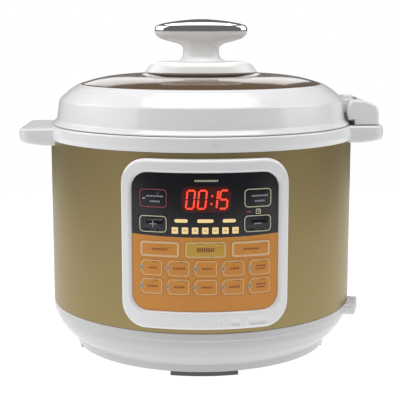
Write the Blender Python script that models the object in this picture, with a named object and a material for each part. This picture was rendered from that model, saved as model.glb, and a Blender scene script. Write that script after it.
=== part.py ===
"""Electric pressure cooker with a hinged lid that a knob locks by bayonet lugs. Metres, +Z up.

The origin is on the pot's axis, in the plane that the feet stand on. The control panel faces -Y and the
lid's hinge is at +X. Pieces that touch keep GAP between them.
"""

import math

import bmesh
import bpy

# ---------------------------------------------------------------- gaps and facets
GAP = 0.0003                # between fixed pieces that touch
RUNNING = 0.0005            # between pieces that move on each other
MERGE = 0.000005            # merges the points that a full turn brings together
OUTER_STEPS = 48            # facets round the casing
INNER_STEPS = 36            # facets round the pieces inside
SMALL_STEPS = 16            # facets round pins, holes and valves

# ---------------------------------------------------------------- casing
SHELL_RADIUS = 0.1420
SHELL_HEIGHT = 0.1542
SHELL_WALL = 0.0010
FOOT_HEIGHT = 0.0042
FOOT_WIDTH = 0.010
FOOT_HALF_ANGLE = 14.6
BASE_HEIGHT = 0.0410        # from the rim to the top of the band
BAND_HEIGHT = 0.0060
BASE_RIM_RADIUS = SHELL_RADIUS - 0.0220
BASE_RIM_HEIGHT = 0.0075
BASE_WALL = 0.0030
FOOT_RADIUS = BASE_RIM_RADIUS - 0.0015
RING_RADIUS = SHELL_RADIUS + 0.0020
RING_HEIGHT = 0.0127
RING_WALL = 0.0025
SPIGOT_HEIGHT = 0.0065
SKIRT_DEPTH = 0.0100
PLATE_THICKNESS = 0.0030

# ---------------------------------------------------------------- pots
POT_RADIUS = 0.1110         # inside of the cooking pot
POT_DEPTH = 0.1430
POT_WALL = 0.0015
POT_FLOOR = 0.0020
POT_CORNER = 0.0070
POT_LIP = 0.0040
POT_CLEARANCE = 0.0030      # between the cooking pot and the middle pot
MIDDLE_WALL = 0.0015
COLLAR_RADIUS = POT_RADIUS + 0.0170
LUG_COUNT = 6
LUG_ANGLE = 24.0
COLLAR_LUG_HEIGHT = 0.0030
COLLAR_LUG_INNER = POT_RADIUS + 0.0070

# ---------------------------------------------------------------- heating
HEATER_RADIUS = 0.0900
HEATER_HEIGHT = 0.0180
HEATER_BORE = 0.0150
SENSOR_RADIUS = 0.0120
SENSOR_HEAD = 0.0040
SENSOR_STEM = 0.0040
SPRING_RADIUS = 0.0075
SPRING_WIRE = 0.0006
SPRING_TURNS = 4

# ---------------------------------------------------------------- lid
LID_RADIUS = SHELL_RADIUS - 0.0017      # at its lip
LID_LIP_HEIGHT = 0.0045
LID_WALL_RADIUS = LID_RADIUS - 0.0041
LID_WALL = 0.0025
LID_SHOULDER_RADIUS = LID_WALL_RADIUS - 0.0029
LID_SHOULDER_HEIGHT = 0.0229
LID_SLOPE = ((0.0086, 0.0304), (0.0147, 0.0346))    # further in and higher than the shoulder
LID_RIM_HEIGHT = 0.0367
LID_FLOOR_HEIGHT = 0.0190
LID_FLOOR = 0.0020
WINDOW_RADIUS = SHELL_RADIUS - 0.0290
WINDOW_THICKNESS = 0.0024
WINDOW_DOME = 0.0080
WINDOW_DISH_RADIUS = 0.0440
WINDOW_DISH_DEPTH = 0.0035
LOCK_RADIUS = POT_RADIUS + 0.0065
LOCK_WALL = 0.0015
LOCK_LUG_RADIUS = LOCK_RADIUS + 0.0080
LOCK_LUG_HEIGHT = 0.0045
LOCK_PLATE = 0.0025
LOCK_HEIGHT = 0.0217
SPOKE_COUNT = 3
SPOKE_ANGLE = 16.0
FIRST_SPOKE = 30.0
GASKET_WIDTH = 0.0105
GASKET_HEIGHT = 0.0039
PRESSURE_LID_WALL = 0.0020
PRESSURE_LID_DOME = 0.0097
POST_RADIUS = 0.0050
POST_CIRCLE = POT_RADIUS - 0.0190
POST_ANGLES = (105.0, 225.0, 345.0)
VENT_PLACE = (0.0, 0.0700)
VENT_RADIUS = 0.0040
VENT_BORE = 0.0015
VALVE_RADIUS = 0.0125
VALVE_CAP_HEIGHT = 0.0070
FLOAT_CIRCLE = 0.0720
FLOAT_ANGLE = 130.0
FLOAT_RADIUS = 0.0025

# ---------------------------------------------------------------- hinge and handles
HANDLE_REACH = SHELL_RADIUS + 0.0255
HANDLE_HALF_WIDTH = 0.0470
HANDLE_CORNER = 0.0100
HANDLE_ROOT_DEPTH = 0.0155
HANDLE_TIP_DEPTH = 0.0100
LEFT_HANDLE_DROP = 0.0018
HINGE_X = SHELL_RADIUS + 0.0110
HINGE_RISE = 0.0120         # the pin above the top of the ring
HINGE_BARREL = 0.0065
HINGE_ARM_HALF_WIDTH = 0.0280
HINGE_HALF_WIDTH = 0.0400
HINGE_CHEEK_RADIUS = 0.0188 # the lid swings round this part of each cheek
HINGE_FOOT_X = LID_RADIUS + 0.0008
HINGE_OUTER_X = HINGE_X + 0.0100
HINGE_HEIGHT = 0.0235
HINGE_FLOOR = 0.0022
PIN_RADIUS = 0.0025
PIN_END_WALL = 0.0030

# ---------------------------------------------------------------- knob
KNOB_SHAFT_RADIUS = 0.0115
KNOB_HUB_RADIUS = 0.0180
KNOB_PLATE_LIFT = 0.0017
KNOB_PLATE_HEIGHT = 0.0138
KNOB_PLATE_LENGTH = 0.1060
KNOB_PLATE_DEPTH = 0.0660
KNOB_HEIGHT = 0.0281        # handle above its plate
KNOB_LENGTH = 0.0868
KNOB_DEPTH = 0.0294
KNOB_STEM_LENGTH = 0.0344
KNOB_CAP_HEIGHT = 0.0117

# ---------------------------------------------------------------- control panel
PANEL_RADIUS = SHELL_RADIUS + 0.0065        # arc lengths on the panel are measured at this radius
BEZEL_FACE = SHELL_RADIUS + 0.0080
BEZEL_HALF_WIDTH = 0.0742
BEZEL_LOW = 0.0508
BEZEL_HIGH = 0.1955
BEZEL_CORNER = 0.0220
PANEL_FACE = SHELL_RADIUS + 0.0055
PANEL_THICKNESS = 0.0012
PANEL_HALF_WIDTH = 0.0639
PANEL_LOW = 0.0667
PANEL_HIGH = 0.1840
PANEL_CORNER = 0.0140
PANEL_SPLIT = 0.1310        # height where the black half meets the orange half
MEMBRANE_FACE = SHELL_RADIUS + 0.0025
MEMBRANE_THICKNESS = 0.0008
KEY_PROUD = 0.0003
KEY_TRAVEL = 0.0005
KEY_REST_GAP = 0.0007       # between a key's back and the membrane
KEY_CORNER = 0.0022
UPPER_KEY_OFFSET = 0.0448
UPPER_KEY_WIDTH = 0.0250
TOP_KEY_HEIGHT = 0.0165
TOP_KEY_PLACE = 0.1627
SIGN_KEY_HEIGHT = 0.0150
SIGN_KEY_PLACE = 0.1410
WIDE_KEY_WIDTH = 0.0348
WIDE_KEY_PITCH = 0.0391
PROGRAM_KEY_WIDTH = 0.0203
PROGRAM_KEY_PITCH = 0.0233
LOWER_KEY_HEIGHT = 0.0141
WIDE_ROW_PLACE = 0.1197
PROGRAM_ROW_PLACES = (0.1036, 0.0877)
DISPLAY_HALF_WIDTH = 0.0200
DISPLAY_LOW = 0.1525
DISPLAY_HIGH = 0.1720

# ---------------------------------------------------------------- fittings
INLET_ANGLE = -13.0         # from +X towards the panel
INLET_FACE = SHELL_RADIUS + 0.0085
INLET_HALF_WIDTH = 0.0175
INLET_HEIGHT = 0.0102
INLET_MOUTH_HALF_WIDTH = 0.0150
INLET_MOUTH_WALL = 0.0017
INLET_RECESS = 0.0072
INLET_PIN_PITCH = 0.0095
INLET_PIN_LENGTH = 0.0038
INLET_PIN_HALF_WIDTH = 0.0020
INLET_PIN_HALF_HEIGHT = 0.0010
CUP_HALF_WIDTH = 0.0260
CUP_LOW = 0.1423
CUP_HIGH = 0.1900
CUP_FACE = SHELL_RADIUS + 0.0130
CUP_WALL = 0.0012
BRACKET_THICKNESS = 0.0015
BRACKET_LEDGE = 0.0020
BOARD_HALF_WIDTH = 0.0500
BOARD_LOW = 0.0750
BOARD_HIGH = 0.1650
BOARD_THICKNESS = 0.0016
BOARD_FRONT = SHELL_RADIUS - 0.0125

# ---------------------------------------------------------------- places that follow from the sizes
BASE_BOTTOM = FOOT_HEIGHT + GAP
BASE_TOP = BASE_BOTTOM + BASE_HEIGHT
SHELL_BOTTOM = BASE_TOP + GAP
SHELL_TOP = SHELL_BOTTOM + SHELL_HEIGHT
RING_BOTTOM = SHELL_TOP + GAP
RING_TOP = RING_BOTTOM + RING_HEIGHT
LID_BOTTOM = RING_TOP + RUNNING
LID_SHOULDER = LID_BOTTOM + LID_SHOULDER_HEIGHT
LID_RIM = LID_BOTTOM + LID_RIM_HEIGHT
FLOOR_LOW = LID_BOTTOM + LID_FLOOR_HEIGHT
FLOOR_HIGH = FLOOR_LOW + LID_FLOOR

POT_OUTER = POT_RADIUS + POT_WALL
MIDDLE_INNER = POT_OUTER + POT_CLEARANCE
MIDDLE_OUTER = MIDDLE_INNER + MIDDLE_WALL
MIDDLE_FLANGE = SHELL_TOP + 0.0055          # top of the middle pot's flange, inside the ring
LIP_LOW = MIDDLE_FLANGE + GAP
LIP_HIGH = LIP_LOW + POT_WALL
POT_INSIDE = LIP_HIGH - POT_DEPTH
POT_BOTTOM = POT_INSIDE - POT_FLOOR
HEATER_TOP = POT_BOTTOM - GAP
HEATER_LOW = HEATER_TOP - HEATER_HEIGHT
MIDDLE_FLOOR = HEATER_LOW - GAP
MIDDLE_BOTTOM = MIDDLE_FLOOR - MIDDLE_WALL

LOCK_LOW = LIP_HIGH + RUNNING
LOCK_LUG_TOP = LOCK_LOW + LOCK_LUG_HEIGHT
COLLAR_LUG_LOW = LOCK_LUG_TOP + RUNNING
COLLAR_TOP = COLLAR_LUG_LOW + COLLAR_LUG_HEIGHT
LOCK_TOP = LOCK_LOW + LOCK_HEIGHT
LOCK_UNDER = LOCK_TOP - LOCK_PLATE
PRESSURE_RADIUS = LOCK_RADIUS - LOCK_WALL - RUNNING
GASKET_LOW = LIP_HIGH + GAP
GASKET_HIGH = GASKET_LOW + GASKET_HEIGHT
GASKET_OUTER = PRESSURE_RADIUS - RUNNING
GASKET_INNER = GASKET_OUTER - GASKET_WIDTH
PRESSURE_LOW = GASKET_HIGH + GAP
PRESSURE_TOP = PRESSURE_LOW + PRESSURE_LID_WALL + PRESSURE_LID_DOME

WINDOW_LOW = LID_RIM - WINDOW_THICKNESS - 0.0010
WINDOW_TOP = LID_RIM + WINDOW_DOME
DISH_FLOOR = WINDOW_TOP - WINDOW_DISH_DEPTH
HINGE_Z = RING_TOP + HINGE_RISE
KNOB_PLATE_LOW = DISH_FLOOR + KNOB_PLATE_LIFT
KNOB_PLATE_TOP = KNOB_PLATE_LOW + KNOB_PLATE_HEIGHT
KNOB_GRIP_TOP = KNOB_PLATE_TOP + KNOB_HEIGHT
HANDLE_TOP = RING_TOP
INLET_TOP = BASE_TOP

# name: (colour, roughness, metallic)
FINISHES = {
    "white_plastic": ((0.80, 0.80, 0.82), 0.25, 0.0),
    "gold_paint": ((0.33, 0.27, 0.14), 0.30, 0.6),
    "smoked_plastic": ((0.14, 0.11, 0.07), 0.10, 0.0),
    "rubber": ((0.28, 0.28, 0.28), 0.80, 0.0),
    "silicone": ((0.55, 0.56, 0.56), 0.60, 0.0),
    "steel": ((0.62, 0.62, 0.62), 0.28, 1.0),
    "aluminium": ((0.70, 0.70, 0.71), 0.40, 1.0),
    "non_stick": ((0.06, 0.06, 0.06), 0.40, 0.2),
    "chrome": ((0.85, 0.85, 0.86), 0.05, 1.0),
    "black_panel": ((0.01, 0.01, 0.015), 0.12, 0.0),
    "orange_panel": ((0.60, 0.26, 0.05), 0.30, 0.0),
    "circuit_board": ((0.03, 0.16, 0.06), 0.45, 0.0),
    "black_plastic": ((0.03, 0.03, 0.03), 0.45, 0.0),
    "brass": ((0.60, 0.45, 0.18), 0.30, 1.0),
}


# ---------------------------------------------------------------- making objects
def make(name, bm, finish):
    """Turns a bmesh into a scene object with its own material."""
    bmesh.ops.recalc_face_normals(bm, faces=bm.faces[:])
    mesh = bpy.data.meshes.new(name)
    bm.to_mesh(mesh)
    bm.free()
    mesh.shade_smooth()
    mesh.set_sharp_from_angle(angle=math.radians(35.0))
    colour, roughness, metallic = FINISHES[finish]
    material = bpy.data.materials.new(name)
    material.use_nodes = True
    shader = material.node_tree.nodes["Principled BSDF"]
    shader.inputs["Base Color"].default_value = (*colour, 1.0)
    shader.inputs["Roughness"].default_value = roughness
    shader.inputs["Metallic"].default_value = metallic
    mesh.materials.append(material)
    obj = bpy.data.objects.new(name, mesh)
    bpy.context.scene.collection.objects.link(obj)
    return obj


def combine(obj, tool, operation):
    """Adds a Boolean of obj with tool, which becomes a helper that isn't part of the model."""
    modifier = obj.modifiers.new(tool.name, "BOOLEAN")
    modifier.operation = operation
    modifier.solver = "EXACT"
    modifier.object = tool
    tool.hide_render = True
    tool.display_type = "WIRE"
    return obj


def turned(name, outline, finish, steps=OUTER_STEPS, centre=(0.0, 0.0)):
    """Turns an outline of (radius, height) points a full circle about a vertical axis."""
    bm = bmesh.new()
    points = [bm.verts.new((radius, 0.0, height)) for radius, height in outline]
    for first, second in zip(points, points[1:] + points[:1]):
        if first.co.x > 0.0 or second.co.x > 0.0:
            bm.edges.new((first, second))
    bmesh.ops.spin(
        bm, geom=bm.verts[:] + bm.edges[:], cent=(0.0, 0.0, 0.0), axis=(0.0, 0.0, 1.0),
        angle=math.tau, steps=steps, use_merge=True,
    )
    bmesh.ops.remove_doubles(bm, verts=bm.verts[:], dist=MERGE)
    bmesh.ops.translate(bm, verts=bm.verts[:], vec=(*centre, 0.0))
    return make(name, bm, finish)


def sector(name, outline, middle, half_angle, finish, steps=4):
    """Sweeps an outline of (radius, height) points through an arc about the pot's axis, in degrees."""
    bm = bmesh.new()
    start = math.radians(middle - half_angle)
    points = [(r * math.cos(start), r * math.sin(start), z) for r, z in outline]
    bm.faces.new([bm.verts.new(point) for point in points])
    bmesh.ops.spin(
        bm, geom=bm.verts[:] + bm.edges[:] + bm.faces[:], cent=(0.0, 0.0, 0.0), axis=(0.0, 0.0, 1.0),
        angle=math.radians(2.0 * half_angle), steps=steps, use_merge=False,
    )
    return make(name, bm, finish)


def prism(name, outline, low, high, finish, along="Z"):
    """Extrudes an outline along an axis: (x, y) points along Z, (x, z) along Y, (y, z) along X."""
    order = {"Z": (0, 1, 2), "Y": (0, 2, 1), "X": (2, 0, 1)}[along]
    bm = bmesh.new()
    corners = [(a, b, low) for a, b in outline]
    face = bm.faces.new([bm.verts.new([corner[k] for k in order]) for corner in corners])
    extruded = bmesh.ops.extrude_face_region(bm, geom=[face])
    move = [0.0, 0.0, high - low]
    moved = [item for item in extruded["geom"] if isinstance(item, bmesh.types.BMVert)]
    bmesh.ops.translate(bm, verts=moved, vec=[move[k] for k in order])
    return make(name, bm, finish)


def circle(radius, centre=(0.0, 0.0), steps=SMALL_STEPS):
    angles = [math.tau * k / steps for k in range(steps)]
    return [(centre[0] + radius * math.cos(a), centre[1] + radius * math.sin(a)) for a in angles]


def arc(centre, radius, start, end, steps):
    """Points of an arc in degrees, both ends included."""
    angles = [math.radians(start + (end - start) * k / steps) for k in range(steps + 1)]
    return [(centre[0] + radius * math.cos(a), centre[1] + radius * math.sin(a)) for a in angles]


def rounded(low, high, radii, steps=4):
    """A rectangle's outline, with its corner radii from the lower left, anticlockwise."""
    corners = [(low[0], low[1], 1, 1), (high[0], low[1], -1, 1),
               (high[0], high[1], -1, -1), (low[0], high[1], 1, -1)]
    outline = []
    for (x, y, inward_x, inward_y), radius, start in zip(corners, radii, (180.0, 270.0, 0.0, 90.0)):
        if radius == 0.0:
            outline.append((x, y))
            continue
        centre = (x + inward_x * radius, y + inward_y * radius)
        outline += arc(centre, radius, start, start + 90.0, steps)
    return outline


def lofted(name, sections, finish, steps=24):
    """Stacks superellipses, each given as (height, half length, half depth, power)."""
    bm = bmesh.new()
    rings = []
    for height, half_length, half_depth, power in sections:
        ring = []
        for k in range(steps):
            angle = math.tau * k / steps
            across, along = math.cos(angle), math.sin(angle)
            x = math.copysign(abs(across) ** (2.0 / power), across) * half_length
            y = math.copysign(abs(along) ** (2.0 / power), along) * half_depth
            ring.append(bm.verts.new((x, y, height)))
        rings.append(ring)
    for lower, upper in zip(rings, rings[1:]):
        for k in range(steps):
            after = (k + 1) % steps
            bm.faces.new((lower[k], lower[after], upper[after], upper[k]))
    bm.faces.new(rings[0])
    bm.faces.new(rings[-1])
    return make(name, bm, finish)


def strip_edges(outline, strip):
    """Arc lengths that cut a plate into flat strips: at each corner of its outline, and between them."""
    corners = sorted({round(along, 6) for along, _ in outline})
    cuts = []
    for low, high in zip(corners, corners[1:]):
        count = math.ceil((high - low) / strip)
        cuts += [low + (high - low) * k / count for k in range(count)]
    return cuts[1:]


def wrapped(name, outline, inner, outer, finish, facing=-90.0, strip=0.0072):
    """Bends a plate with an outline of (arc length, height) points round the pot's axis."""
    bm = bmesh.new()
    bm.faces.new([bm.verts.new((along, 0.0, height)) for along, height in outline])
    for cut in strip_edges(outline, strip):
        bmesh.ops.bisect_plane(
            bm, geom=bm.verts[:] + bm.edges[:] + bm.faces[:], dist=MERGE,
            plane_co=(cut, 0.0, 0.0), plane_no=(1.0, 0.0, 0.0),
        )
    extruded = bmesh.ops.extrude_face_region(bm, geom=bm.faces[:])
    front = {item for item in extruded["geom"] if isinstance(item, bmesh.types.BMVert)}
    for vert in bm.verts:
        radius = outer if vert in front else inner
        angle = math.radians(facing) + vert.co.x / PANEL_RADIUS
        vert.co = (radius * math.cos(angle), radius * math.sin(angle), vert.co.z)
    return make(name, bm, finish)


def hang_on(name, place, pieces):
    """Parents the pieces to an empty on their joint's axis."""
    pivot = bpy.data.objects.new(name, None)
    pivot.location = place
    bpy.context.scene.collection.objects.link(pivot)
    bpy.context.view_layer.update()
    for piece in pieces:
        piece.parent = pivot
        piece.matrix_parent_inverse = pivot.matrix_world.inverted()
    return pivot


# ---------------------------------------------------------------- casing
def base_outline(offset=0.0):
    """Outer side of the base, from its rim up to the band."""
    band_low = BASE_TOP - BAND_HEIGHT
    return [
        (BASE_RIM_RADIUS + offset, BASE_BOTTOM),
        (BASE_RIM_RADIUS + 0.001 + offset, BASE_BOTTOM + BASE_RIM_HEIGHT),
        (SHELL_RADIUS + offset, band_low),
        (SHELL_RADIUS + offset, BASE_TOP),
    ]


def make_base():
    rim_inner = BASE_RIM_RADIUS - BASE_WALL - 0.0015
    ledge = BASE_BOTTOM + PLATE_THICKNESS + GAP
    spigot = SHELL_RADIUS - SHELL_WALL - RUNNING
    skirt_inner = SHELL_RADIUS - BASE_WALL - 0.0005
    outline = base_outline() + [
        (spigot, BASE_TOP),
        (spigot, BASE_TOP + SPIGOT_HEIGHT),
        (skirt_inner, BASE_TOP + SPIGOT_HEIGHT),
        (skirt_inner, BASE_TOP - BAND_HEIGHT + 0.0005),
        (BASE_RIM_RADIUS + 0.001 - BASE_WALL, ledge + BASE_WALL + 0.0025),
        (BASE_RIM_RADIUS + 0.001 - BASE_WALL, ledge + BASE_WALL),
        (rim_inner - 0.0100, ledge + BASE_WALL),
        (rim_inner - 0.0100, ledge),
        (rim_inner, ledge),
        (rim_inner, BASE_BOTTOM),
    ]
    turned("base_housing", outline, "white_plastic")
    plate_radius = rim_inner - GAP
    plate_top = BASE_BOTTOM + PLATE_THICKNESS
    turned("bottom_plate", [(0.0, BASE_BOTTOM), (plate_radius, BASE_BOTTOM), (plate_radius, plate_top),
                            (0.0, plate_top)], "white_plastic")
    foot = [(FOOT_RADIUS - FOOT_WIDTH, 0.0), (FOOT_RADIUS, 0.0), (FOOT_RADIUS, FOOT_HEIGHT),
            (FOOT_RADIUS - FOOT_WIDTH, FOOT_HEIGHT)]
    for side, middle in (("front", -90.0), ("right", 0.0), ("back", 90.0), ("left", 180.0)):
        sector("foot_" + side, foot, middle, FOOT_HALF_ANGLE, "rubber", steps=6)


def make_shell_and_ring():
    inner = SHELL_RADIUS - SHELL_WALL
    turned("outer_shell", [(inner, SHELL_BOTTOM), (SHELL_RADIUS, SHELL_BOTTOM), (SHELL_RADIUS, SHELL_TOP),
                           (inner, SHELL_TOP)], "gold_paint")
    skirt_outer = inner - RUNNING
    skirt_inner = skirt_outer - RING_WALL + 0.0003
    collar_hole = COLLAR_RADIUS + 0.0007
    ledge_high = MIDDLE_FLANGE - MIDDLE_WALL - GAP
    turned("upper_ring", [
        (RING_RADIUS - 0.0005, RING_BOTTOM),
        (RING_RADIUS, RING_BOTTOM + 0.0047),
        (RING_RADIUS - 0.0008, RING_TOP),
        (collar_hole, RING_TOP),
        (collar_hole, RING_TOP - RING_WALL),
        (skirt_inner, RING_TOP - RING_WALL),
        (skirt_inner, ledge_high),
        (MIDDLE_OUTER + 0.0020, ledge_high),
        (MIDDLE_OUTER + 0.0020, ledge_high - RING_WALL),
        (skirt_inner, ledge_high - RING_WALL),
        (skirt_inner, RING_BOTTOM - SKIRT_DEPTH),
        (skirt_outer, RING_BOTTOM - SKIRT_DEPTH),
        (skirt_outer, RING_BOTTOM),
    ], "white_plastic")


def make_handle(name, side, top):
    """A side grip: flat on top, with an underside that rises towards its tip."""
    root = top - HANDLE_ROOT_DEPTH
    tip = top - HANDLE_TIP_DEPTH
    start = SHELL_RADIUS - 0.0300
    profile = [(start, root), (RING_RADIUS + 0.0010, root), (HANDLE_REACH, tip),
               (HANDLE_REACH, top - 0.0030), (HANDLE_REACH - 0.0020, top), (start, top)]
    plan = rounded((start, -HANDLE_HALF_WIDTH), (HANDLE_REACH, HANDLE_HALF_WIDTH),
                   (0.0, HANDLE_CORNER, HANDLE_CORNER, 0.0), steps=6)
    handle = prism(name, [(side * x, z) for x, z in profile], -HANDLE_HALF_WIDTH - 0.001,
                   HANDLE_HALF_WIDTH + 0.001, "white_plastic", along="Y")
    corners = prism(name + "_plan", [(side * x, y) for x, y in plan], root - 0.005, HANDLE_TOP + 0.005,
                    "white_plastic")
    combine(handle, corners, "INTERSECT")
    seat = turned(name + "_seat", [(0.0, root - 0.010), (RING_RADIUS + GAP, root - 0.010),
                                   (RING_RADIUS + GAP, HANDLE_TOP + 0.010), (0.0, HANDLE_TOP + 0.010)],
                  "white_plastic")
    combine(handle, seat, "DIFFERENCE")


# ---------------------------------------------------------------- pots and heating
def make_pots():
    lip_outer = MIDDLE_INNER + 0.0010
    turned("inner_pot", [
        (0.0, POT_BOTTOM), (POT_OUTER - POT_CORNER, POT_BOTTOM), (POT_OUTER, POT_BOTTOM + POT_CORNER),
        (POT_OUTER, LIP_LOW), (lip_outer, LIP_LOW), (lip_outer, LIP_HIGH), (POT_RADIUS, LIP_HIGH),
        (POT_RADIUS, POT_INSIDE + POT_CORNER), (POT_RADIUS - POT_CORNER, POT_INSIDE), (0.0, POT_INSIDE),
    ], "non_stick", INNER_STEPS)
    collar_inner = COLLAR_RADIUS - MIDDLE_WALL
    stem_hole = SENSOR_STEM + 0.0015
    pot = turned("outer_pot", [
        (stem_hole, MIDDLE_BOTTOM), (MIDDLE_OUTER, MIDDLE_BOTTOM),
        (MIDDLE_OUTER, MIDDLE_FLANGE - MIDDLE_WALL),
        (COLLAR_RADIUS, MIDDLE_FLANGE - MIDDLE_WALL), (COLLAR_RADIUS, COLLAR_TOP),
        (collar_inner, COLLAR_TOP),
        (collar_inner, MIDDLE_FLANGE), (MIDDLE_INNER, MIDDLE_FLANGE), (MIDDLE_INNER, MIDDLE_FLOOR),
        (stem_hole, MIDDLE_FLOOR),
    ], "aluminium", INNER_STEPS)
    lug = [(COLLAR_LUG_INNER, COLLAR_LUG_LOW), (COLLAR_RADIUS - 0.0006, COLLAR_LUG_LOW),
           (COLLAR_RADIUS - 0.0006, COLLAR_TOP - 0.0002), (COLLAR_LUG_INNER, COLLAR_TOP - 0.0002)]
    for k in range(LUG_COUNT):
        middle = (k + 0.5) * 360.0 / LUG_COUNT
        piece = sector(f"collar_lug_{k}", lug, middle, LUG_ANGLE / 2.0, "aluminium")
        combine(pot, piece, "UNION")


def make_heating():
    turned("heating_plate", [
        (HEATER_BORE, HEATER_LOW), (HEATER_RADIUS - 0.005, HEATER_LOW), (HEATER_RADIUS, HEATER_LOW + 0.005),
        (HEATER_RADIUS, HEATER_TOP - 0.003), (HEATER_RADIUS - 0.003, HEATER_TOP), (HEATER_BORE, HEATER_TOP),
    ], "aluminium", INNER_STEPS)
    head_low = HEATER_TOP - SENSOR_HEAD
    cap = turned("sensor_cap", [
        (0.0, MIDDLE_BOTTOM - 0.006), (SENSOR_STEM, MIDDLE_BOTTOM - 0.006), (SENSOR_STEM, head_low),
        (SENSOR_RADIUS, head_low), (SENSOR_RADIUS, HEATER_TOP - 0.001), (SENSOR_RADIUS - 0.001, HEATER_TOP),
        (0.0, HEATER_TOP),
    ], "steel", SMALL_STEPS)
    hang_on("sensor_axis", (0.0, 0.0, HEATER_TOP), [cap])
    make_sensor_spring(MIDDLE_FLOOR + GAP + SPRING_WIRE, head_low - GAP - SPRING_WIRE)
    turned("thermal_fuse", [
        (0.0, MIDDLE_BOTTOM - 0.0143), (0.0040, MIDDLE_BOTTOM - 0.0143), (0.0040, MIDDLE_BOTTOM - GAP),
        (0.0, MIDDLE_BOTTOM - GAP),
    ], "steel", SMALL_STEPS, centre=(-0.035, 0.0))
    switch_top = MIDDLE_BOTTOM - GAP
    prism("pressure_switch", [(0.035, -0.010), (0.059, -0.010), (0.059, 0.006), (0.035, 0.006)],
          switch_top - 0.0140, switch_top, "black_plastic")


def make_sensor_spring(low, high):
    """A coil of round wire round the sensor's stem."""
    points_per_turn = 8
    count = SPRING_TURNS * points_per_turn
    curve = bpy.data.curves.new("sensor_spring", "CURVE")
    curve.dimensions = "3D"
    curve.bevel_depth = SPRING_WIRE
    curve.bevel_resolution = 0
    curve.use_fill_caps = True
    spline = curve.splines.new("POLY")
    spline.points.add(count)
    for k in range(count + 1):
        angle = math.tau * k / points_per_turn
        height = low + (high - low) * k / count
        spline.points[k].co = (SPRING_RADIUS * math.cos(angle), SPRING_RADIUS * math.sin(angle), height, 1.0)
    material = bpy.data.materials.new("sensor_spring")
    material.use_nodes = True
    colour, roughness, metallic = FINISHES["steel"]
    shader = material.node_tree.nodes["Principled BSDF"]
    shader.inputs["Base Color"].default_value = (*colour, 1.0)
    shader.inputs["Roughness"].default_value = roughness
    shader.inputs["Metallic"].default_value = metallic
    curve.materials.append(material)
    spring = bpy.data.objects.new("sensor_spring", curve)
    bpy.context.scene.collection.objects.link(spring)


# ---------------------------------------------------------------- lid
def float_place():
    angle = math.radians(FLOAT_ANGLE)
    return (FLOAT_CIRCLE * math.cos(angle), FLOAT_CIRCLE * math.sin(angle))


def drill(obj, label, radius, centre, low, high):
    """Cuts a round vertical hole."""
    combine(obj, prism(f"{obj.name}_{label}", circle(radius, centre), low, high, "steel"), "DIFFERENCE")


def lid_cover_outline():
    """The white cover: wall, sloped shoulder, rim that holds the window, and a floor under the window."""
    inner = LID_WALL_RADIUS - LID_WALL
    rim = WINDOW_RADIUS + GAP
    ledge = WINDOW_LOW - GAP
    slope = [(LID_SHOULDER_RADIUS - inward, LID_BOTTOM + height) for inward, height in LID_SLOPE]
    return [
        (inner, LID_BOTTOM),
        (LID_RADIUS, LID_BOTTOM),
        (LID_RADIUS, LID_BOTTOM + 0.0010),
        (LID_WALL_RADIUS, LID_BOTTOM + LID_LIP_HEIGHT),
        (LID_SHOULDER_RADIUS, LID_SHOULDER),
        *slope,
        (rim + 0.0010, LID_RIM),
        (rim, LID_RIM),
        (rim, ledge),
        (rim - 0.0058, ledge),
        (rim - 0.0058, ledge - LID_WALL),
        (rim + 0.0057, ledge - LID_WALL),
        (LID_SHOULDER_RADIUS - 0.0046, FLOOR_HIGH + 0.0015),
        (LID_SHOULDER_RADIUS - 0.0046, FLOOR_HIGH),
        (KNOB_SHAFT_RADIUS + 0.0020, FLOOR_HIGH),
        (KNOB_SHAFT_RADIUS + 0.0020, FLOOR_LOW),
        (LID_SHOULDER_RADIUS - 0.0040, FLOOR_LOW),
        (inner - 0.0020, FLOOR_LOW - 0.0045),
        (inner, LID_BOTTOM + 0.0055),
    ]


def hinge_arm_outline():
    """Side view of the arm from the lid's wall to the barrel on the pin."""
    root = LID_WALL_RADIUS - 0.0057
    barrel = arc((HINGE_X, HINGE_Z), HINGE_BARREL, -135.0, 60.0, 9)
    top = RING_TOP + HINGE_HEIGHT
    return [(root, HINGE_Z - 0.0010), (HINGE_X - 0.0110, HINGE_Z - 0.0010), *barrel,
            (HINGE_X - 0.0070, top - 0.0015), (HINGE_X - 0.0140, top), (root, top - 0.0003)]


def make_lid_cover():
    cover = turned("lid_cover", lid_cover_outline(), "white_plastic")
    arm = prism("hinge_arm", hinge_arm_outline(), -HINGE_ARM_HALF_WIDTH, HINGE_ARM_HALF_WIDTH,
                "white_plastic", along="Y")
    combine(cover, arm, "UNION")
    bore = prism("hinge_bore", circle(PIN_RADIUS + RUNNING, (HINGE_X, HINGE_Z)), -HINGE_HALF_WIDTH,
                 HINGE_HALF_WIDTH, "white_plastic", along="Y")
    combine(cover, bore, "DIFFERENCE")
    drill(cover, "vent_hole", VENT_RADIUS + 0.0020, VENT_PLACE, FLOOR_LOW - 0.002, FLOOR_HIGH + 0.002)
    drill(cover, "float_hole", FLOAT_RADIUS + 0.0025, float_place(), FLOOR_LOW - 0.002, FLOOR_HIGH + 0.002)
    return cover


def window_height(radius):
    """Top of the window: a low dome that falls to its rim, dished round the knob."""
    if radius <= WINDOW_DISH_RADIUS:
        return DISH_FLOOR
    crest = WINDOW_DISH_RADIUS + 0.0160
    if radius < crest:
        return DISH_FLOOR + WINDOW_DISH_DEPTH * (radius - WINDOW_DISH_RADIUS) / (crest - WINDOW_DISH_RADIUS)
    return WINDOW_TOP - WINDOW_DOME * ((radius - crest) / (WINDOW_RADIUS - crest)) ** 2.4


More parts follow.
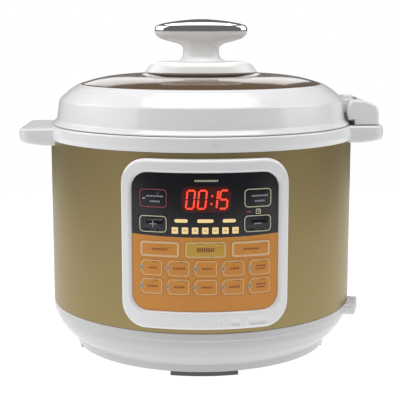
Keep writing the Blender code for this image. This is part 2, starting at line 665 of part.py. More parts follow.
def make_window():
    hub = KNOB_SHAFT_RADIUS + 0.0015
    crest = WINDOW_DISH_RADIUS + 0.0160
    span = WINDOW_RADIUS - crest
    radii = [hub, WINDOW_DISH_RADIUS, crest] + [crest + span * share for share in (0.40, 0.65, 0.85)]
    top = [(radius, window_height(radius)) for radius in radii]
    bottom = [(radius, height - WINDOW_THICKNESS) for radius, height in reversed(top)]
    outline = top + [(WINDOW_RADIUS, LID_RIM), (WINDOW_RADIUS, WINDOW_LOW)] + bottom
    window = turned("lid_window", outline, "smoked_plastic")
    drill(window, "valve_hole", VALVE_RADIUS + 0.0010, VENT_PLACE, FLOOR_HIGH + 0.004, WINDOW_TOP + 0.004)
    drill(window, "float_hole", FLOAT_RADIUS + 0.0007, float_place(), FLOOR_HIGH + 0.004, WINDOW_TOP + 0.004)
    return window


def make_pressure_lid():
    shoulder = GASKET_INNER - 0.0045
    wall = PRESSURE_LID_WALL
    flange_top = PRESSURE_LOW + wall
    boss = KNOB_SHAFT_RADIUS
    lid = turned("pressure_lid", [
        (0.0, PRESSURE_TOP - wall - 0.0005), (0.0600, PRESSURE_TOP - wall - 0.0012),
        (shoulder - 0.0050, flange_top + 0.0030), (shoulder, PRESSURE_LOW), (PRESSURE_RADIUS, PRESSURE_LOW),
        (PRESSURE_RADIUS, flange_top), (shoulder + 0.0015, flange_top),
        (shoulder - 0.0030, flange_top + 0.0050),
        (0.0600, PRESSURE_TOP - 0.0012), (boss, PRESSURE_TOP - 0.0006), (boss, LOCK_UNDER - GAP),
        (0.0, LOCK_UNDER - GAP),
    ], "aluminium", INNER_STEPS)
    for k, degrees in enumerate(POST_ANGLES):
        angle = math.radians(degrees)
        centre = (POST_CIRCLE * math.cos(angle), POST_CIRCLE * math.sin(angle))
        post = prism(f"lid_post_{k}", circle(POST_RADIUS, centre), flange_top + 0.0045, FLOOR_LOW - GAP,
                     "aluminium")
        combine(lid, post, "UNION")
    drill(lid, "vent_hole", VENT_RADIUS + GAP, VENT_PLACE, PRESSURE_LOW, LOCK_TOP)
    drill(lid, "float_hole", FLOAT_RADIUS + RUNNING, float_place(), PRESSURE_LOW, LOCK_TOP)
    gasket = turned("lid_gasket", [(GASKET_INNER, GASKET_LOW), (GASKET_OUTER, GASKET_LOW),
                                   (GASKET_OUTER, GASKET_HIGH), (GASKET_INNER, GASKET_HIGH)], "silicone",
                    INNER_STEPS)
    edge = GASKET_INNER - 0.0010
    plate_low = GASKET_LOW + 0.0004
    plate = turned("gasket_plate", [
        (0.0, plate_low), (edge - 0.0045, plate_low), (edge, plate_low + 0.0025), (edge, GASKET_HIGH),
        (edge - 0.0025, GASKET_HIGH), (edge - 0.0055, plate_low + 0.0012), (0.0, plate_low + 0.0012),
    ], "steel", INNER_STEPS)
    drill(plate, "vent_hole", VENT_RADIUS + 0.0015, VENT_PLACE, GASKET_LOW - 0.002, GASKET_HIGH)
    drill(plate, "float_hole", FLOAT_RADIUS + 0.0025, float_place(), GASKET_LOW - 0.002, GASKET_HIGH)
    return [lid, gasket, plate]


def make_vent():
    """The vent pipe, clamped in the pressure lid, and the weight that sits on its end."""
    collar = PRESSURE_TOP - 0.0007
    pipe_top = WINDOW_TOP + 0.0020
    pipe = turned("vent_pipe", [
        (VENT_BORE, PRESSURE_TOP - 0.0045), (VENT_RADIUS, PRESSURE_TOP - 0.0045), (VENT_RADIUS, collar),
        (VENT_RADIUS + 0.0030, collar), (VENT_RADIUS + 0.0030, collar + 0.0014),
        (VENT_RADIUS, collar + 0.0014),
        (VENT_RADIUS, pipe_top), (VENT_BORE, pipe_top),
    ], "steel", SMALL_STEPS, centre=VENT_PLACE)
    bore = VENT_RADIUS + RUNNING
    cap_low = WINDOW_TOP + 0.0010
    cap_top = cap_low + VALVE_CAP_HEIGHT
    weight = turned("steam_valve", [
        (bore, FLOOR_HIGH + 0.0095), (VALVE_RADIUS - 0.0025, FLOOR_HIGH + 0.0095),
        (VALVE_RADIUS - 0.0025, cap_low),
        (VALVE_RADIUS, cap_low), (VALVE_RADIUS, cap_top - 0.0012), (VALVE_RADIUS - 0.0012, cap_top),
        (0.0, cap_top), (0.0, pipe_top + RUNNING), (bore, pipe_top + RUNNING),
    ], "black_plastic", SMALL_STEPS, centre=VENT_PLACE)
    return pipe, weight


def make_float():
    flange = PRESSURE_TOP - 0.0003
    under = PRESSURE_TOP - 0.0105
    head = FLOAT_RADIUS + 0.0020
    return turned("float_valve", [
        (0.0, under), (head, under), (head, under + 0.0015), (FLOAT_RADIUS, under + 0.0015),
        (FLOAT_RADIUS, flange), (head, flange), (head, flange + 0.0013), (FLOAT_RADIUS, flange + 0.0013),
        (FLOAT_RADIUS, WINDOW_TOP - 0.0010),
        (0.0, WINDOW_TOP - 0.0010),
    ], "steel", SMALL_STEPS, centre=float_place())


def make_lock_ring():
    """A bell with three spokes on top, and bayonet lugs round its lower edge."""
    inner = LOCK_RADIUS - LOCK_WALL
    ring = turned("lock_ring", [
        (0.0, LOCK_UNDER), (inner, LOCK_UNDER), (inner, LOCK_LOW), (LOCK_RADIUS, LOCK_LOW),
        (LOCK_RADIUS, LOCK_TOP), (0.0, LOCK_TOP),
    ], "steel", INNER_STEPS)
    gap_angle = 360.0 / SPOKE_COUNT
    opening = [(0.0280, LOCK_UNDER - 0.004), (inner - 0.0070, LOCK_UNDER - 0.004),
               (inner - 0.0070, LOCK_TOP + 0.004), (0.0280, LOCK_TOP + 0.004)]
    for k in range(SPOKE_COUNT):
        middle = FIRST_SPOKE + (k + 0.5) * gap_angle
        cut = sector(f"spoke_gap_{k}", opening, middle, (gap_angle - SPOKE_ANGLE) / 2.0, "steel", steps=10)
        combine(ring, cut, "DIFFERENCE")
    lug = [(LOCK_RADIUS - 0.0008, LOCK_LOW + 0.0001), (LOCK_LUG_RADIUS, LOCK_LOW + 0.0001),
           (LOCK_LUG_RADIUS, LOCK_LUG_TOP), (LOCK_RADIUS - 0.0008, LOCK_LUG_TOP)]
    for k in range(LUG_COUNT):
        piece = sector(f"lock_lug_{k}", lug, k * 360.0 / LUG_COUNT, LUG_ANGLE / 2.0, "steel")
        combine(ring, piece, "UNION")
    return ring


# ---------------------------------------------------------------- knob
def make_knob():
    half_length = KNOB_PLATE_LENGTH / 2.0
    half_depth = KNOB_PLATE_DEPTH / 2.0
    low = KNOB_PLATE_LOW
    high = KNOB_PLATE_TOP
    plate = lofted("knob_plate", [
        (low, half_length - 0.0170, half_depth - 0.0110, 2.3),
        (low + 0.0012, half_length - 0.0095, half_depth - 0.0062, 2.3),
        (low + 0.0035, half_length - 0.0030, half_depth - 0.0020, 2.3),
        (low + 0.0060, half_length, half_depth, 2.3),
        (high - 0.0030, half_length - 0.0055, half_depth - 0.0035, 2.3),
        (high - 0.0008, half_length - 0.0078, half_depth - 0.0052, 2.3),
        (high, half_length - 0.0110, half_depth - 0.0080, 2.3),
    ], "white_plastic", steps=28)
    drill(plate, "shaft_hole", KNOB_SHAFT_RADIUS + GAP, (0.0, 0.0), low - 0.005, high + 0.005)

    shaft = KNOB_SHAFT_RADIUS
    stem = KNOB_STEM_LENGTH / 2.0
    grip = KNOB_LENGTH / 2.0
    deep = KNOB_DEPTH / 2.0
    foot = high + GAP
    handle = lofted("knob_handle", [
        (LOCK_TOP + GAP, shaft, shaft, 2.0),
        (DISH_FLOOR + RUNNING, shaft, shaft, 2.0),
        (DISH_FLOOR + RUNNING, KNOB_HUB_RADIUS, KNOB_HUB_RADIUS, 2.0),
        (low - GAP, KNOB_HUB_RADIUS, KNOB_HUB_RADIUS, 2.0),
        (low - GAP, shaft, shaft, 2.0),
        (foot, shaft, shaft, 2.0),
        (foot, stem + 0.0085, deep + 0.0035, 2.2),
        (foot + 0.0015, stem + 0.0050, deep + 0.0010, 2.3),
        (foot + 0.0050, stem, deep - 0.0020, 2.4),
        (foot + 0.0130, stem, deep - 0.0022, 2.4),
        (foot + 0.0165, stem + 0.0045, deep - 0.0018, 2.4),
        (foot + 0.0185, stem + 0.0120, deep - 0.0012, 2.4),
        (foot + 0.0202, grip - 0.0095, deep - 0.0008, 2.4),
        (foot + 0.0235, grip - 0.0035, deep - 0.0003, 2.4),
        (KNOB_GRIP_TOP, grip, deep, 2.4),
    ], "white_plastic")
    cap = KNOB_GRIP_TOP + GAP
    chrome = lofted("knob_cap", [
        (cap, grip + 0.0002, deep + 0.0002, 2.4),
        (cap + 0.0034, grip, deep, 2.4),
        (cap + 0.0055, grip - 0.0018, deep - 0.0007, 2.4),
        (cap + 0.0072, grip - 0.0055, deep - 0.0020, 2.4),
        (cap + 0.0092, grip - 0.0150, deep - 0.0048, 2.4),
        (cap + 0.0107, grip - 0.0260, deep - 0.0082, 2.4),
        (cap + KNOB_CAP_HEIGHT, grip - 0.0360, deep - 0.0115, 2.4),
    ], "chrome")
    return [plate, handle, chrome]


# ---------------------------------------------------------------- hinge
def make_hinge():
    bottom = RING_TOP + GAP
    top = RING_TOP + HINGE_HEIGHT
    lip_top = LID_BOTTOM + LID_LIP_HEIGHT + RUNNING
    swing = arc((HINGE_X, HINGE_Z), HINGE_CHEEK_RADIUS, 202.0, 142.0, 6)
    side = [(HINGE_FOOT_X, bottom), (HINGE_FOOT_X, lip_top), *swing, (HINGE_X - 0.0065, top - 0.0015),
            (HINGE_X + 0.0066, top - 0.0090), (HINGE_X + 0.0087, top - 0.0140), (HINGE_OUTER_X, bottom)]
    housing = prism("hinge_housing", side, -HINGE_HALF_WIDTH, HINGE_HALF_WIDTH, "white_plastic", along="Y")
    slot_half = HINGE_ARM_HALF_WIDTH + RUNNING
    slot = prism("hinge_slot", [(HINGE_FOOT_X - 0.02, -slot_half), (HINGE_OUTER_X + 0.01, -slot_half),
                                (HINGE_OUTER_X + 0.01, slot_half), (HINGE_FOOT_X - 0.02, slot_half)],
                 bottom + HINGE_FLOOR, top + 0.010, "white_plastic")
    combine(housing, slot, "DIFFERENCE")
    hole = prism("pin_hole", circle(PIN_RADIUS + GAP, (HINGE_X, HINGE_Z)), -HINGE_HALF_WIDTH + PIN_END_WALL,
                 HINGE_HALF_WIDTH + 0.010, "white_plastic", along="Y")
    combine(housing, hole, "DIFFERENCE")
    prism("hinge_pin", circle(PIN_RADIUS, (HINGE_X, HINGE_Z)), -HINGE_HALF_WIDTH + PIN_END_WALL + GAP,
          HINGE_HALF_WIDTH - GAP, "steel", along="Y")


# ---------------------------------------------------------------- control panel
def key_places():
    """Every key as (name, arc length of its middle, height of its middle, width, height)."""
    places = [
        ("key_cancel", -UPPER_KEY_OFFSET, TOP_KEY_PLACE, UPPER_KEY_WIDTH, TOP_KEY_HEIGHT),
        ("key_delay", UPPER_KEY_OFFSET, TOP_KEY_PLACE, UPPER_KEY_WIDTH, TOP_KEY_HEIGHT),
        ("key_plus", -UPPER_KEY_OFFSET, SIGN_KEY_PLACE, UPPER_KEY_WIDTH, SIGN_KEY_HEIGHT),
        ("key_minus", UPPER_KEY_OFFSET, SIGN_KEY_PLACE, UPPER_KEY_WIDTH, SIGN_KEY_HEIGHT),
    ]
    for k, name in enumerate(("key_browse", "key_start", "key_warm")):
        along = (k - 1) * WIDE_KEY_PITCH
        places.append((name, along, WIDE_ROW_PLACE, WIDE_KEY_WIDTH, LOWER_KEY_HEIGHT))
    for row, height in enumerate(PROGRAM_ROW_PLACES):
        for column in range(5):
            name = f"key_program_{5 * row + column + 1}"
            along = (column - 2) * PROGRAM_KEY_PITCH
            places.append((name, along, height, PROGRAM_KEY_WIDTH, LOWER_KEY_HEIGHT))
    return places


def key_outline(along, height, width, tall, growth=0.0):
    half = width / 2.0 + growth
    rise = tall / 2.0 + growth
    corner = (KEY_CORNER,) * 4
    return rounded((along - half, height - rise), (along + half, height + rise), corner, steps=1)


def make_panel():
    back = SHELL_RADIUS + GAP
    bezel = wrapped("panel_bezel", rounded((-BEZEL_HALF_WIDTH, BEZEL_LOW), (BEZEL_HALF_WIDTH, BEZEL_HIGH),
                                           (BEZEL_CORNER,) * 4, steps=5), back, BEZEL_FACE, "white_plastic")
    edge = GAP
    window = wrapped("bezel_window", rounded((-PANEL_HALF_WIDTH - edge, PANEL_LOW - edge),
                                             (PANEL_HALF_WIDTH + edge, PANEL_HIGH + edge),
                                             (PANEL_CORNER + edge,) * 4, steps=5),
                     back - 0.004, BEZEL_FACE + 0.004, "white_plastic")
    combine(bezel, window, "DIFFERENCE")
    inside = PANEL_FACE - PANEL_THICKNESS
    round_top = (0.0, 0.0, PANEL_CORNER, PANEL_CORNER)
    round_bottom = (PANEL_CORNER, PANEL_CORNER, 0.0, 0.0)
    upper_outline = rounded((-PANEL_HALF_WIDTH, PANEL_SPLIT + GAP / 2), (PANEL_HALF_WIDTH, PANEL_HIGH),
                            round_top, steps=5)
    lower_outline = rounded((-PANEL_HALF_WIDTH, PANEL_LOW), (PANEL_HALF_WIDTH, PANEL_SPLIT - GAP / 2),
                            round_bottom, steps=5)
    upper = wrapped("display_panel", upper_outline, inside, PANEL_FACE, "black_panel")
    lower = wrapped("key_panel", lower_outline, inside, PANEL_FACE, "orange_panel")
    for name, along, height, width, tall in key_places():
        panel = upper if height > PANEL_SPLIT else lower
        finish = "black_panel" if height > PANEL_SPLIT else "orange_panel"
        outline = key_outline(along, height, width, tall, growth=GAP)
        hole = wrapped(name + "_hole", outline, inside - 0.002, PANEL_FACE + 0.002, finish)
        combine(panel, hole, "DIFFERENCE")
        key = wrapped(name, key_outline(along, height, width, tall), MEMBRANE_FACE + KEY_REST_GAP,
                      PANEL_FACE + KEY_PROUD, finish)
        angle = along / PANEL_RADIUS
        hang_on(name + "_axis", (PANEL_FACE * math.sin(angle), -PANEL_FACE * math.cos(angle), height), [key])
    inset = 0.0020
    membrane = wrapped("keypad_membrane", rounded((-PANEL_HALF_WIDTH + inset, PANEL_LOW + inset),
                                                  (PANEL_HALF_WIDTH - inset, PANEL_HIGH - inset),
                                                  (PANEL_CORNER,) * 4, steps=2),
                       MEMBRANE_FACE - MEMBRANE_THICKNESS, MEMBRANE_FACE, "silicone", strip=0.010)
    side = DISPLAY_HALF_WIDTH + 0.0015
    front = -BEZEL_FACE - 0.010
    room = prism("display_room", [(-side, front), (side, front), (side, -BOARD_FRONT), (-side, -BOARD_FRONT)],
                 DISPLAY_LOW - 0.0015, DISPLAY_HIGH + 0.0015, "silicone")
    combine(membrane, room, "DIFFERENCE")
    display_front = math.sqrt(inside ** 2 - DISPLAY_HALF_WIDTH ** 2) - GAP
    prism("led_display", [(-DISPLAY_HALF_WIDTH, -display_front), (DISPLAY_HALF_WIDTH, -display_front),
                          (DISPLAY_HALF_WIDTH, -back - GAP), (-DISPLAY_HALF_WIDTH, -back - GAP)],
          DISPLAY_LOW, DISPLAY_HIGH, "black_plastic")
    prism("control_board", [(-BOARD_HALF_WIDTH, -BOARD_FRONT), (BOARD_HALF_WIDTH, -BOARD_FRONT),
                            (BOARD_HALF_WIDTH, -BOARD_FRONT + BOARD_THICKNESS),
                            (-BOARD_HALF_WIDTH, -BOARD_FRONT + BOARD_THICKNESS)],
          BOARD_LOW, BOARD_HIGH, "circuit_board")


# ---------------------------------------------------------------- inlet and condensate cup
def make_inlet():
    """The mains inlet: a block on the base with a recess for the plug, and three flat pins."""
    low = INLET_TOP - INLET_HEIGHT
    side = INLET_HALF_WIDTH
    plan = rounded((BASE_RIM_RADIUS, -side), (INLET_FACE, side), (0.0, 0.003, 0.003, 0.0), steps=3)
    housing = prism("inlet_housing", plan, low, INLET_TOP, "white_plastic")
    keep_out = turned("base_keep_out", [(0.0, BASE_BOTTOM - 0.004), *base_outline(GAP), (0.0, BASE_TOP)],
                      "white_plastic")
    combine(housing, keep_out, "DIFFERENCE")
    floor_x = INLET_FACE - INLET_RECESS
    mouth_low = low + INLET_MOUTH_WALL
    mouth_high = INLET_TOP - INLET_MOUTH_WALL
    mouth_outline = rounded((-INLET_MOUTH_HALF_WIDTH, mouth_low), (INLET_MOUTH_HALF_WIDTH, mouth_high),
                            (0.002,) * 4, steps=3)
    mouth = prism("inlet_mouth", mouth_outline, floor_x, INLET_FACE + 0.010, "white_plastic", along="X")
    combine(housing, mouth, "DIFFERENCE")
    middle = (mouth_low + mouth_high) / 2.0
    pieces = [housing, mouth]
    for name, place in (("live", -INLET_PIN_PITCH), ("earth", 0.0), ("neutral", INLET_PIN_PITCH)):
        across = (place - INLET_PIN_HALF_WIDTH, place + INLET_PIN_HALF_WIDTH)
        up = (middle - INLET_PIN_HALF_HEIGHT, middle + INLET_PIN_HALF_HEIGHT)
        outline = [(across[0], up[0]), (across[1], up[0]), (across[1], up[1]), (across[0], up[1])]
        start = floor_x + GAP
        end = start + INLET_PIN_LENGTH
        pieces.append(prism("inlet_pin_" + name, outline, start, end, "brass", along="X"))
    for piece in pieces:
        piece.rotation_euler.z = math.radians(INLET_ANGLE)


def make_cup():
    """A slim cup that hangs at the back and lifts off, and the bracket that it stands on."""
    back = SHELL_RADIUS + GAP
    plate_face = back + BRACKET_THICKNESS
    ledge_top = CUP_LOW - GAP
    half = CUP_HALF_WIDTH
    square = (0.0, 0.0, 0.0, 0.0)
    plate_half = half - 0.0040
    ledge_half = half - 0.0050
    ledge_low = ledge_top - BRACKET_LEDGE
    plate_outline = rounded((-plate_half, ledge_low), (plate_half, CUP_HIGH - 0.0080), square)
    ledge_outline = rounded((-ledge_half, ledge_low + 0.0001), (ledge_half, ledge_top), square)
    bracket = wrapped("cup_bracket", plate_outline, back, plate_face, "white_plastic", facing=90.0)
    ledge = wrapped("cup_ledge", ledge_outline, plate_face - 0.0006, CUP_FACE - 0.004, "white_plastic",
                    facing=90.0)
    combine(bracket, ledge, "UNION")
    inner = plate_face + GAP
    cup_outline = rounded((-half, CUP_LOW), (half, CUP_HIGH), (0.005, 0.005, 0.0, 0.0), steps=3)
    room_outline = rounded((-half + CUP_WALL, CUP_LOW + CUP_WALL), (half - CUP_WALL, CUP_HIGH + 0.010),
                           (0.004, 0.004, 0.0, 0.0), steps=3)
    cup = wrapped("condensate_cup", cup_outline, inner, CUP_FACE, "smoked_plastic", facing=90.0)
    room = wrapped("cup_room", room_outline, inner + CUP_WALL, CUP_FACE - CUP_WALL, "smoked_plastic",
                   facing=90.0)
    combine(cup, room, "DIFFERENCE")
    hang_on("cup_axis", (0.0, (inner + CUP_FACE) / 2.0, CUP_LOW), [cup])


# ---------------------------------------------------------------- the whole cooker
def main():
    for obj in list(bpy.data.objects):
        bpy.data.objects.remove(obj)
    make_base()
    make_shell_and_ring()
    make_handle("left_handle", -1.0, HANDLE_TOP - LEFT_HANDLE_DROP)
    make_handle("right_handle", 1.0, HANDLE_TOP)
    make_hinge()
    make_pots()
    make_heating()
    make_panel()
    make_inlet()
    make_cup()
    fixed_in_lid = [make_lid_cover(), make_window(), *make_pressure_lid()]
    pipe, weight = make_vent()
    hang_on("lid_hinge_axis", (HINGE_X, 0.0, HINGE_Z), [*fixed_in_lid, pipe])
    hang_on("valve_axis", (*VENT_PLACE, WINDOW_TOP), [weight])
    hang_on("float_axis", (*float_place(), WINDOW_TOP), [make_float()])
    hang_on("knob_axis", (0.0, 0.0, KNOB_PLATE_LOW), [*make_knob(), make_lock_ring()])


main()
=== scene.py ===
"""Electric pressure cooker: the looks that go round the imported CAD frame.

Metres, +Z up. The origin is on the pot's axis in the plane of the feet, the control panel faces -Y and the
lid's hinge is at +X. Profiles inside in_mm(...) and rows that are multiplied by MM are in millimetres.
"""

import math

import bpy
import numpy as np
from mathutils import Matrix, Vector
from mathutils.geometry import delaunay_2d_cdt


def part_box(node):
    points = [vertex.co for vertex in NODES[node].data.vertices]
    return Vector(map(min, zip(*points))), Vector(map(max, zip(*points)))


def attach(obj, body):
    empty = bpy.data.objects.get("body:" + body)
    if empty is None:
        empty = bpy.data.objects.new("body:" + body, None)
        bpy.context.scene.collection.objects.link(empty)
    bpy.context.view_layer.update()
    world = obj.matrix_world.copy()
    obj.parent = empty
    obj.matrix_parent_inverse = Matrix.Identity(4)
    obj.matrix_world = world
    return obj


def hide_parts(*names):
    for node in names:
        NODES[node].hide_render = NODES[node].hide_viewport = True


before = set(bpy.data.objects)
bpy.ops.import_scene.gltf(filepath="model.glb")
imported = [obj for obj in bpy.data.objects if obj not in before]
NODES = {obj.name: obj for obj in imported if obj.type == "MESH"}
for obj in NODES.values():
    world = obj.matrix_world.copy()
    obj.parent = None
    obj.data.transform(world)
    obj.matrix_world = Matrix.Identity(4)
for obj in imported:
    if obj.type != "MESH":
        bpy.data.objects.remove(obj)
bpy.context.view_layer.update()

MM = 0.001
ROUND = 168                 # facets round the casing
INNER_ROUND = 144           # facets round what is inside it
SHARP = 32.0                # degrees between faces above which an edge stays sharp
WRAP_RADIUS = 0.1485        # arc lengths on the panel are measured at this radius
HINGE_X = 0.1530
RING_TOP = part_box("upper_ring")[1].z
HINGE_Z = RING_TOP + 0.0120
HINGE = (HINGE_X, HINGE_Z)
HINGE_TOP = RING_TOP + 0.0235
EYE_RADIUS = 0.0065         # round end of the lid's arm


# ---------------- materials
def material(name, colour, roughness, metallic=0.0, other=None, cloud=30.0, spread=0.05, grain=900.0,
             bump=0.04,
             depth=0.00008, stretch=(1.0, 1.0, 1.0), coat=0.0, coat_roughness=0.05, flakes=0.0, emission=None,
             strength=0.0, transmission=0.0, ior=1.5, specular=0.5, anisotropic=0.0, alpha=1.0):
    """A Principled material whose colour, roughness and bump vary with noise in object space."""
    made = bpy.data.materials.new(name)
    made.use_nodes = True
    tree = made.node_tree
    shader = tree.nodes["Principled BSDF"]
    new, link = tree.nodes.new, tree.links.new
    place = new("ShaderNodeTexCoord")
    mapping = new("ShaderNodeMapping")
    mapping.inputs["Scale"].default_value = stretch
    link(place.outputs["Object"], mapping.inputs["Vector"])
    clouds = new("ShaderNodeTexNoise")
    clouds.inputs["Scale"].default_value = cloud
    clouds.inputs["Detail"].default_value = 3.0
    link(mapping.outputs["Vector"], clouds.inputs["Vector"])
    grains = new("ShaderNodeTexNoise")
    grains.inputs["Scale"].default_value = grain
    grains.inputs["Detail"].default_value = 2.0
    link(mapping.outputs["Vector"], grains.inputs["Vector"])
    other = other or tuple(0.96 * part for part in colour)
    blend = new("ShaderNodeMix")
    blend.data_type = "RGBA"
    blend.inputs["A"].default_value = (*colour, 1.0)
    blend.inputs["B"].default_value = (*other, 1.0)
    link(clouds.outputs["Fac"], blend.inputs["Factor"])
    tint = blend.outputs["Result"]
    if flakes:
        sparkle = new("ShaderNodeTexVoronoi")
        sparkle.inputs["Scale"].default_value = grain
        link(mapping.outputs["Vector"], sparkle.inputs["Vector"])
        lighter = new("ShaderNodeMix")
        lighter.data_type = "RGBA"
        lighter.blend_type = "OVERLAY"
        lighter.inputs["Factor"].default_value = flakes
        link(tint, lighter.inputs["A"])
        link(sparkle.outputs["Color"], lighter.inputs["B"])
        tint = lighter.outputs["Result"]
    link(tint, shader.inputs["Base Color"])
    rough = new("ShaderNodeMapRange")
    rough.inputs["To Min"].default_value = max(0.0, roughness - spread)
    rough.inputs["To Max"].default_value = roughness + spread
    link(clouds.outputs["Fac"], rough.inputs["Value"])
    link(rough.outputs["Result"], shader.inputs["Roughness"])
    ripple = new("ShaderNodeBump")
    ripple.inputs["Strength"].default_value = bump
    ripple.inputs["Distance"].default_value = depth
    link(grains.outputs["Fac"], ripple.inputs["Height"])
    link(ripple.outputs["Normal"], shader.inputs["Normal"])
    values = {"Metallic": metallic, "Coat Weight": coat, "Coat Roughness": coat_roughness, "IOR": ior,
              "Specular IOR Level": specular, "Transmission Weight": transmission, "Anisotropic": anisotropic,
              "Alpha": alpha}
    for socket, value in values.items():
        shader.inputs[socket].default_value = value
    if emission:
        shader.inputs["Emission Color"].default_value = (*emission, 1.0)
        shader.inputs["Emission Strength"].default_value = strength
    return made


WHITE = material("white_gloss", (0.86, 0.86, 0.87), 0.16, other=(0.84, 0.84, 0.855), spread=0.03, grain=260.0,
                 bump=0.05, depth=0.0001, coat=0.15)
# The same white plastic as white_gloss, painted darker for the base and the bottom cover: painted shade for
# the low, downward-facing base.
SHADED_BASE_WHITE = material("base_white_painted_shade", (0.62, 0.62, 0.625), 0.22, other=(0.60, 0.60, 0.61), spread=0.03,
                      grain=260.0,
                      bump=0.05, depth=0.0001, specular=0.3)
KNOB_WHITE = material("knob_white", (0.92, 0.915, 0.90), 0.22, other=(0.90, 0.895, 0.885), spread=0.03,
                      grain=300.0, bump=0.05, coat=0.1)
GOLD = material("gold_lacquer", (0.355, 0.275, 0.125), 0.38, metallic=0.85, other=(0.325, 0.252, 0.114),
                cloud=14.0,
                spread=0.03, grain=2600.0, bump=0.10, depth=0.00005, flakes=0.16)
SMOKED = material("smoked_window", (0.115, 0.062, 0.026), 0.12, other=(0.105, 0.056, 0.023), spread=0.02,
                  grain=120.0, bump=0.03, depth=0.0002, coat=0.3)
CHROME = material("chrome", (0.82, 0.82, 0.83), 0.05, metallic=1.0, other=(0.78, 0.78, 0.80), spread=0.02,
                  grain=160.0, bump=0.02)
BLACK_GLOSS = material("black_gloss", (0.0065, 0.0065, 0.0105), 0.14, other=(0.0050, 0.0050, 0.0085),
                       spread=0.03,
                       grain=1500.0, bump=0.03)
ORANGE = material("orange_film", (0.660, 0.265, 0.036), 0.34, other=(0.620, 0.245, 0.032), cloud=55.0,
                  spread=0.05,
                  grain=2200.0, bump=0.10, depth=0.00004)
AMBER = material("amber_film", (0.610, 0.345, 0.042), 0.34, other=(0.580, 0.320, 0.038), cloud=55.0,
                 spread=0.05,
                 grain=2200.0, bump=0.10, depth=0.00004)
PALE_INK = material("pale_ink", (0.740, 0.520, 0.275), 0.40, other=(0.700, 0.485, 0.250), cloud=200.0)
CREAM_INK = material("cream_ink", (0.690, 0.640, 0.470), 0.40, other=(0.640, 0.590, 0.430), cloud=200.0)
RED_INK = material("red_ink", (0.330, 0.060, 0.070), 0.40, other=(0.300, 0.050, 0.060), cloud=200.0)
BROWN_INK = material("brown_ink", (0.250, 0.062, 0.018), 0.45, other=(0.220, 0.054, 0.016), cloud=200.0)
GREY_INK = material("grey_ink", (0.360, 0.370, 0.420), 0.45, other=(0.330, 0.340, 0.390), cloud=200.0)
RED_LIGHT = material("red_light", (0.60, 0.03, 0.01), 0.40, cloud=300.0, emission=(1.0, 0.060, 0.025),
                     strength=0.95)
RED_GLOW = material("red_glow", (0.020, 0.004, 0.004), 0.16, cloud=300.0, emission=(1.0, 0.05, 0.02),
                    strength=0.035)
WARM_LIGHT = material("warm_light", (0.70, 0.55, 0.28), 0.40, cloud=300.0, emission=(1.0, 0.70, 0.30),
                      strength=0.42)
LENS = material("clear_lens", (0.52, 0.44, 0.36), 0.15, other=(0.46, 0.38, 0.31), cloud=400.0)
RUBBER = material("rubber", (0.130, 0.130, 0.132), 0.78, other=(0.110, 0.110, 0.112), cloud=160.0,
                  grain=1400.0,
                  bump=0.35, depth=0.0002)
SILICONE = material("silicone", (0.50, 0.51, 0.52), 0.52, other=(0.44, 0.45, 0.46), cloud=90.0, grain=1500.0,
                    bump=0.15, depth=0.0001, specular=0.4)
STEEL = material("brushed_steel", (0.60, 0.60, 0.61), 0.26, metallic=1.0, other=(0.52, 0.52, 0.53),
                 cloud=60.0,
                 grain=700.0, bump=0.12, depth=0.00008, stretch=(1.0, 1.0, 14.0), anisotropic=0.3)
ALUMINIUM = material("cast_aluminium", (0.66, 0.66, 0.67), 0.40, metallic=1.0, other=(0.56, 0.56, 0.58),
                     cloud=50.0,
                     spread=0.07, grain=1200.0, bump=0.20, depth=0.0001)
NON_STICK = material("non_stick", (0.055, 0.056, 0.060), 0.38, other=(0.075, 0.076, 0.080), cloud=45.0,
                     spread=0.05,
                     grain=2600.0, bump=0.25, depth=0.00008, flakes=0.10, coat=0.2, coat_roughness=0.25)
BRASS = material("brass", (0.62, 0.47, 0.20), 0.28, metallic=1.0, other=(0.54, 0.40, 0.16), cloud=120.0)
BOARD = material("board_laminate", (0.025, 0.150, 0.055), 0.42, other=(0.018, 0.120, 0.045), cloud=300.0,
                 grain=2400.0, bump=0.10)
BLACK_PLASTIC = material("black_plastic", (0.028, 0.028, 0.030), 0.42, other=(0.038, 0.038, 0.041),
                         cloud=120.0,
                         grain=1800.0, bump=0.22, depth=0.0001)
CLEAR_CUP = material("frosted_cup", (0.70, 0.72, 0.74), 0.22, other=(0.64, 0.66, 0.69), cloud=60.0,
                     grain=1200.0,
                     bump=0.08, transmission=0.75, ior=1.49)


# ---------------- mesh helpers
def eased(points, steps=6, closed=True):
    """Points given as (a, b, radius) become arcs, and those given as (a, b) stay corners."""
    out = []
    count = len(points)
    for k, (a, b, *rest) in enumerate(points):
        ends = not closed and k in (0, count - 1)
        if ends or not rest or rest[0] <= 0.0:
            out.append((a, b))
            continue
        corner = Vector((a, b))
        before = Vector(points[k - 1][:2]) - corner
        after = Vector(points[(k + 1) % count][:2]) - corner
        if before.length < 1e-9 or after.length < 1e-9 or before.angle(after) > math.pi - 0.01:
            out.append((a, b))
            continue
        half = before.angle(after) / 2.0
        reach = min(rest[0] / math.tan(half), 0.48 * before.length, 0.48 * after.length)
        centre = corner + (before.normalized() + after.normalized()).normalized() * (reach / math.cos(half))
        start = corner + before.normalized() * reach - centre
        end = corner + after.normalized() * reach - centre
        first = math.atan2(start.y, start.x)
        turn = (math.atan2(end.y, end.x) - first + math.pi) % math.tau - math.pi
        for j in range(steps + 1):
            angle = first + turn * j / steps
            out.append((centre.x + start.length * math.cos(angle), centre.y + start.length * math.sin(angle)))
    return out


def polar(radius, angle, centre=(0.0, 0.0)):
    return centre[0] + radius * math.cos(angle), centre[1] + radius * math.sin(angle)


def linked(name, data):
    """A new object in the scene."""
    obj = bpy.data.objects.new(name, data)
    bpy.context.scene.collection.objects.link(obj)
    return obj


def in_mm(points):
    return [tuple(value * MM for value in point) for point in points]


